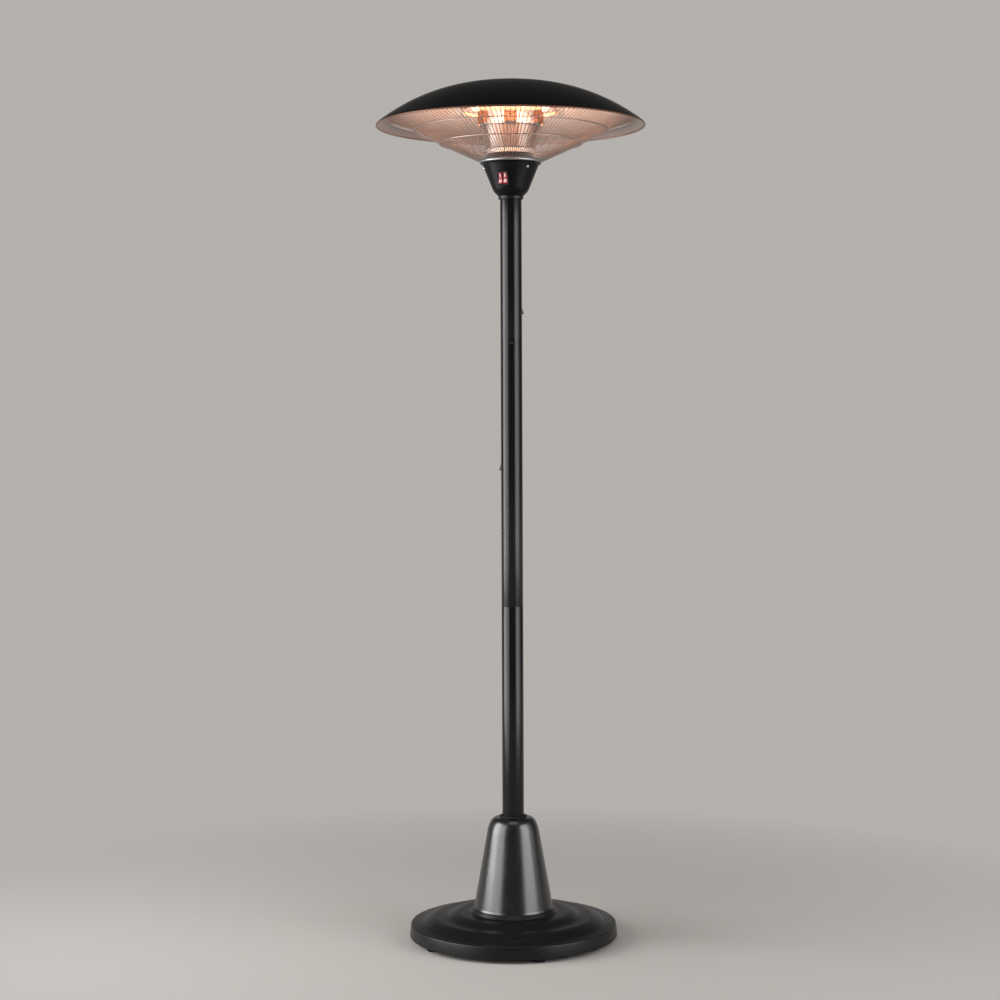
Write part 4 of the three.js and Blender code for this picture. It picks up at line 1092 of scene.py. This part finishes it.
def dome_face():
    """The hood's outer face: a flatter crown, then a tighter arc that leaves it without a kink."""
    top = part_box("hood")[1].z
    slope = math.asin(CROWN_EDGE / CROWN_RADIUS)
    crown_height = top - CROWN_RADIUS * (1 - math.cos(slope))
    edge_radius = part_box("hood")[1].x
    run = edge_radius - CROWN_EDGE
    fall = crown_height - rim_height() - HOOD_EDGE_RISE
    arc = (run ** 2 + fall ** 2) / (2 * (fall * math.cos(slope) - run * math.sin(slope)))
    centre = (CROWN_EDGE - arc * math.sin(slope), crown_height - arc * math.cos(slope))
    edge_slope = math.asin((edge_radius - centre[0]) / arc)
    crown = steps(math.asin(TUBE_BORE / CROWN_RADIUS), slope, 12)[:-1]
    shoulder = steps(slope, edge_slope, 28)
    return [
        *((CROWN_RADIUS * math.sin(s), top - CROWN_RADIUS * (1 - math.cos(s))) for s in crown),
        *((centre[0] + arc * math.sin(s), centre[1] + arc * math.cos(s)) for s in shoulder),
    ]


def hood(finish):
    dome = revolved(sheet_section(dome_face(), HOOD_SHEET), DOME_ROUND)
    add_piece("hood_dome", dome, finish, "gloss_black_steel", "hood")


def hood_lining(finish):
    """The bright dome inside the hood, with a rolled edge."""
    upper = offset(dome_face(), HOOD_SHEET + LINING_GAP)
    under = offset(dome_face(), HOOD_SHEET + LINING_GAP + LINING_SHEET)
    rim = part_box("hood_lining")[1].x - ROLLED_EDGE
    roll = [
        (rim + ROLLED_EDGE * math.cos(t), rim_height() + ROLLED_EDGE * math.sin(t))
        for t in (math.radians(degrees) for degrees in steps(*ROLL_ARC, 16))
    ]
    lining = revolved([*under, *roll, *reversed(upper)], DOME_ROUND)
    add_piece("hood_lining_dome", lining, finish, "lining", "hood_lining")


def cap_nut(finish):
    low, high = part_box("cap_nut")
    inside = high.z - NUT_TOP
    share, depth = NUT_CROWN
    nut = rounded([
        (0, inside, 0), (TUBE_BORE, inside, 0), (TUBE_BORE, low.z, 0), (high.x, low.z, 0.0004),
        (high.x, low.z + NUT_SKIRT, 0.0015), (high.x * share, high.z - depth, 0.003), (0, high.z, 0),
    ], 5)
    add_piece("hood_cap_nut", revolved(nut, SMALL_ROUND), finish, "gloss_black_steel", "cap_nut")


def reflector_column(finish):
    low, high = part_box("reflector_column")
    foot_radius, foot_height = COLUMN_FOOT
    foot_top = low.z + foot_height
    bead = low.z + COLUMN_BEAD_RISE
    barrel = high.x - COLUMN_BEAD
    crest, root = COLUMN_BEAD_HALF
    path = rounded([
        (barrel, high.z, 0), (barrel, bead + root, 0.0008), (high.x, bead + crest, 0.0006),
        (high.x, bead - crest, 0.0006), (COLUMN_NECK_RADIUS, bead - root, 0.0006),
        (COLUMN_LOW_RADIUS, foot_top + COLUMN_CONE_RISE, 0.001), (foot_radius, foot_top, 0.0008),
        (foot_radius, low.z, 0.001), (TUBE_BORE, low.z, 0),
    ], 4)
    column = revolved(sheet_section(path, COLUMN_SHEET))
    add_piece("polished_reflector", column, finish, "polished_steel", "reflector_column")


def smooth_path(knots, count):
    """Points on a smooth curve through the knots, so many for each stretch."""
    points = []
    for i in range(len(knots) - 1):
        before, after = knots[max(i - 1, 0)], knots[min(i + 2, len(knots) - 1)]
        here, there = knots[i], knots[i + 1]
        for t in steps(0, 1, count)[:-1]:
            points.append(
                here * (2 * t ** 3 - 3 * t ** 2 + 1)
                + there * (3 * t ** 2 - 2 * t ** 3)
                + (there - before) * 0.5 * (t ** 3 - 2 * t ** 2 + t)
                + (after - here) * 0.5 * (t ** 3 - t ** 2))
    return [*points, knots[-1]]


def guard_grille(finish):
    low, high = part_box("guard_grille")
    foot = low.z + GUARD_RINGS[0][2]
    rings = [(radius, foot + rise, wire) for radius, rise, wire in GUARD_RINGS]
    rings.append((high.x - UPPER_RING_WIRE, high.z - UPPER_RING_WIRE, UPPER_RING_WIRE))
    path = path_mesh(smooth_path([Vector((radius, 0, height)) for radius, height, _ in rings], 5))
    values = {"Wires": WIRES, "Step": 2 * math.pi / WIRES, "Wire radius": WIRE_RADIUS, "Material": finish}
    for ring, (radius, height, wire) in enumerate(rings):
        drop = RING_DROP if 0 < ring < len(rings) - 1 else 0
        for size, value in (("radius", radius), ("height", height - drop), ("wire", wire)):
            values[f"Ring {ring} {size}"] = value
    wires = guard_tree(len(rings)).applied(path, values)
    add_piece("guard_wires", wires, finish, "wire_steel", "guard_grille", sharp=70.0)


# ---------- lamps ----------
def lamp_place():
    """The middle of the first lamp with its length along Z, its radius and half its length."""
    low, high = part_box("lamp_1")
    return Matrix.Translation((low + high) / 2) @ turn_about("Y", 90), (high.z - low.z) / 2, high.x


def lamp_tubes(finish):
    place, radius, half = lamp_place()
    tube = moved(revolved(tube_section(radius, LAMP_WALL, -half, half, 0.0005), SMALL_ROUND), place)
    add_piece("quartz_tubes", turned_copies(tube, LAMPS, finish), finish, "quartz", *numbered("lamp", LAMPS))


def lamp_coils(finish):
    """A coil in each lamp, with a straight pin at both ends."""
    place, _, lamp_half = lamp_place()
    half = lamp_half - COIL_END
    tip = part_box("filament_1")[1].x
    coil = coil_tree().applied(path_mesh([]), {
        "Turns": float(COIL_TURNS), "Radius": COIL_RADIUS, "Length": 2 * half, "Wire": COIL_WIRE,
        "Material": finish,
    })
    pin = [(0, half), (PIN_RADIUS, half), (PIN_RADIUS, tip), (0, tip)]
    pins = [moved(revolved(pin, PIN_ROUND), turn_about("X", end)) for end in (0, 180)]
    coil = moved(joined(moved(coil, shift(0, 0, -half)), *pins), place)
    coils = turned_copies(coil, LAMPS, finish)
    add_piece("heater_coils", coils, finish, "filament", *numbered("filament", LAMPS), sharp=70.0)


def lamp_holders(finish):
    """Grooved blocks at both ends of each lamp, with a socket for its tube."""
    place, radius, _ = lamp_place()
    low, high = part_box("lamp_holder_1")
    middle = (low + high) / 2
    holder = bevelled(block(HOLDER_SIZE, middle), HOLDER_BEVEL)
    for along in HOLDER_GROOVES:
        holder = combined(holder, block(HOLDER_GROOVE, (middle.x + along, middle.y, low.z)))
    bore = radius + SEAT_GAP
    ends = (low.x + reach for reach in HOLDER_SOCKET)
    socket = revolved(tube_section(bore, bore - LAMP_WALL, *ends), SCREW_ROUND)
    holder = combined(holder, moved(socket, place))
    line = place.translation.y
    other = moved(holder.copy(), shift(0, line, 0), turn_about("Z", 180), shift(0, -line, 0))
    holders = turned_copies(joined(holder, other), LAMPS, finish)
    add_piece("ceramic_holders", holders, finish, "ceramic", *numbered("lamp_holder", 2 * LAMPS))


def dress(finish, *nodes):
    """Gives CAD nodes that keep their shape a finish."""
    for node in nodes:
        mesh = frame["nodes"][node].data
        mesh.materials.clear()
        mesh.materials.append(finish)


# ---------- studio ----------
def rays(nodes, *kinds):
    """1 for rays of these kinds, and 0 for the others."""
    path = nodes.tree.nodes.new("ShaderNodeLightPath")
    total = path.outputs[kinds[0]]
    for kind in kinds[1:]:
        total = nodes.computed("MAXIMUM", total, path.outputs[kind])
    return total


def room_shade(nodes, direction):
    """The backdrop's colour in a direction: pale behind the object, dimmer high up and beside the camera."""
    shares = []
    for axis, ends in (("Y", BACK_SPREAD), ("Z", BACK_HEIGHT)):
        part = nodes.add("ShaderNodeSeparateXYZ", {0: direction}, axis)
        shares.append(nodes.share(part, ends, interpolation_type="SMOOTHSTEP"))
    return nodes.blended(nodes.computed("MULTIPLY", *shares), ROOM, BACKGROUND)


def shown_shade(nodes, direction):
    """Pale where the camera looks, and the room's shade where gloss reflects it."""
    seen = rays(nodes, "Is Camera Ray", "Is Transmission Ray")
    return nodes.blended(seen, room_shade(nodes, direction), BACKGROUND)


def backdrop():
    """A pale world behind the object, and a dimmer one to light it."""
    world = bpy.data.worlds.new("studio")
    bpy.context.scene.world = world
    world.use_nodes = True
    nodes = Nodes(world.node_tree)
    shown = nodes.tree.nodes["Background"]
    nodes.put(shown, "Color", shown_shade(nodes, nodes.add("ShaderNodeTexCoord", output="Generated")))
    light = nodes.add("ShaderNodeBackground", {"Color": (*AMBIENT, 1)})
    both = nodes.add("ShaderNodeMixShader", {0: rays(nodes, *SEEN_RAYS), 1: light, 2: shown.outputs[0]})
    nodes.put(nodes.tree.nodes["World Output"], "Surface", both)


def floor():
    """A pale floor that keeps the object's shadow and runs out into the backdrop."""
    form = bmesh.new()
    bmesh.ops.create_circle(form, cap_ends=True, segments=POLE_ROUND, radius=FLOOR_SIZE / 2)
    plane = placed("floor", mesh_from(form, "floor"))
    finish = Finish("floor_paint", FLOOR_COLOUR, Roughness=0.9, Specular_IOR_Level=0.1)
    finish.colour(finish.noise(1.5), FLOOR_COLOUR, tuple(c * 0.97 for c in FLOOR_COLOUR))
    outward = finish.add("ShaderNodeVectorMath", {0: finish.coordinates}, operation="NORMALIZE")
    pale = finish.blended(finish.share(finish.radius(), FLOOR_JOIN), BACKGROUND, shown_shade(finish, outward))
    glow = finish.add("ShaderNodeEmission", {"Color": pale, "Strength": rays(finish, *SEEN_RAYS)})
    far = finish.share(finish.radius(), FLOOR_FADE)
    both = finish.add("ShaderNodeMixShader", {0: far, 1: finish.shader.outputs[0], 2: glow})
    finish.put(finish.tree.nodes["Material Output"], "Surface", both)
    plane.data.materials.append(finish.material)


def area_light(name, place, target, size, radiance):
    data = bpy.data.lights.new(name, "AREA")
    data.shape = "RECTANGLE"
    data.size, data.size_y = size
    data.energy = radiance * math.pi * size[0] * size[1]
    lamp = placed(name, data, place)
    lamp.rotation_euler = (Vector(target) - Vector(place)).to_track_quat("-Z", "Y").to_euler()
    lamp.visible_camera = False


def studio_lights():
    for name, (azimuth, width, bottom, top, radiance) in SOFTBOXES.items():
        middle = (bottom + top) / 2
        angle = math.radians(azimuth)
        place = (SOFTBOX_DISTANCE * math.sin(angle), -SOFTBOX_DISTANCE * math.cos(angle), middle)
        area_light(name, place, (0, 0, middle), (width, top - bottom), radiance)
    area_light("top_softbox", TOP_PLACE, TOP_TARGET, TOP_SOFTBOX, TOP_RADIANCE)


def lamp_glow():
    """The warm light of each heater lamp on the column, the lining and the wires."""
    low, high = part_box("lamp_1")
    for i in range(LAMPS):
        for along in GLOW_PLACES:
            data = bpy.data.lights.new(f"lamp_glow_{i + 1}", "POINT")
            data.energy = GLOW_POWER
            data.color = GLOW_COLOUR
            data.shadow_soft_size = GLOW_SIZE
            place = (low + high) / 2 + Vector((along, -GLOW_SETBACK, 0))
            lamp = placed(data.name, data, Matrix.Rotation(2 * math.pi * i / LAMPS, 3, "Z") @ place)
            lamp.visible_camera = False
            lamp.visible_glossy = False


def camera():
    data = bpy.data.cameras.new("camera")
    data.sensor_width = CAMERA_SENSOR
    data.lens = CAMERA_LENS
    data.shift_x, data.shift_y = CAMERA_SHIFT
    view = placed("camera", data, (0, -CAMERA_DISTANCE, CAMERA_HEIGHT))
    view.rotation_euler = (turn_about("X", 90) @ turn_about("Z", CAMERA_ROLL)).to_euler()
    bpy.context.scene.camera = view


camera()
backdrop()
floor()
studio_lights()
lamp_glow()
bpy.context.scene.view_settings.view_transform = "Standard"

gloss_black = gloss_paint("gloss_black_paint", (0.0030, 0.0030, 0.0034), 0.19, 0.31)
bell_black = gloss_paint("bell_black_paint", (0.0030, 0.0030, 0.0032), 0.26, 0.84)
hood_black = gloss_paint("hood_black_paint", (0.0030, 0.0030, 0.0034), 0.24, 0.11)
satin_black = powder_coat("satin_black_coat", (0.0030, 0.0030, 0.0033), 0.36, 0.28)
housing_black = gloss_paint("housing_black_paint", (0.0030, 0.0030, 0.0034), 0.34, 0.08)
rubber = black_rubber()
plastic = moulded_black()
zinc = zinc_plate()
ceramic = fired_ceramic()

base_cover(satin_black)
feet(rubber)
pole(gloss_black)
pole_flange(zinc)
bell_cover(bell_black)
bell_collar(rubber)
lock_screws(satin_black)
cord_clips(plastic)
switch_housing(housing_black)
neck_collar(satin_black)
cord_gland(plastic)
housing_screws(zinc)
housing_lid(plastic)
rocker_switch(plastic, red_moulding(), white_print())
hood(hood_black)
hood_lining(spun_lining())
cap_nut(hood_black)
reflector_column(polished_column())
guard_grille(plated_wire())
lamp_tubes(quartz_glass())
lamp_coils(glowing_coil())
lamp_holders(ceramic)
dress(grey_casting(), "base_weight")
dress(zinc, *numbered("flange_bolt", 3), "joint_sleeve_lower", "joint_sleeve_upper", "centre_tube")
dress(heated_plate(), *numbered("lamp_bracket", 3), *numbered("lamp_rest", 3))
dress(ceramic, "terminal_block")
dress(plastic, "tip_switch_case")
dress(turned_brass(), "tip_switch_pendulum")
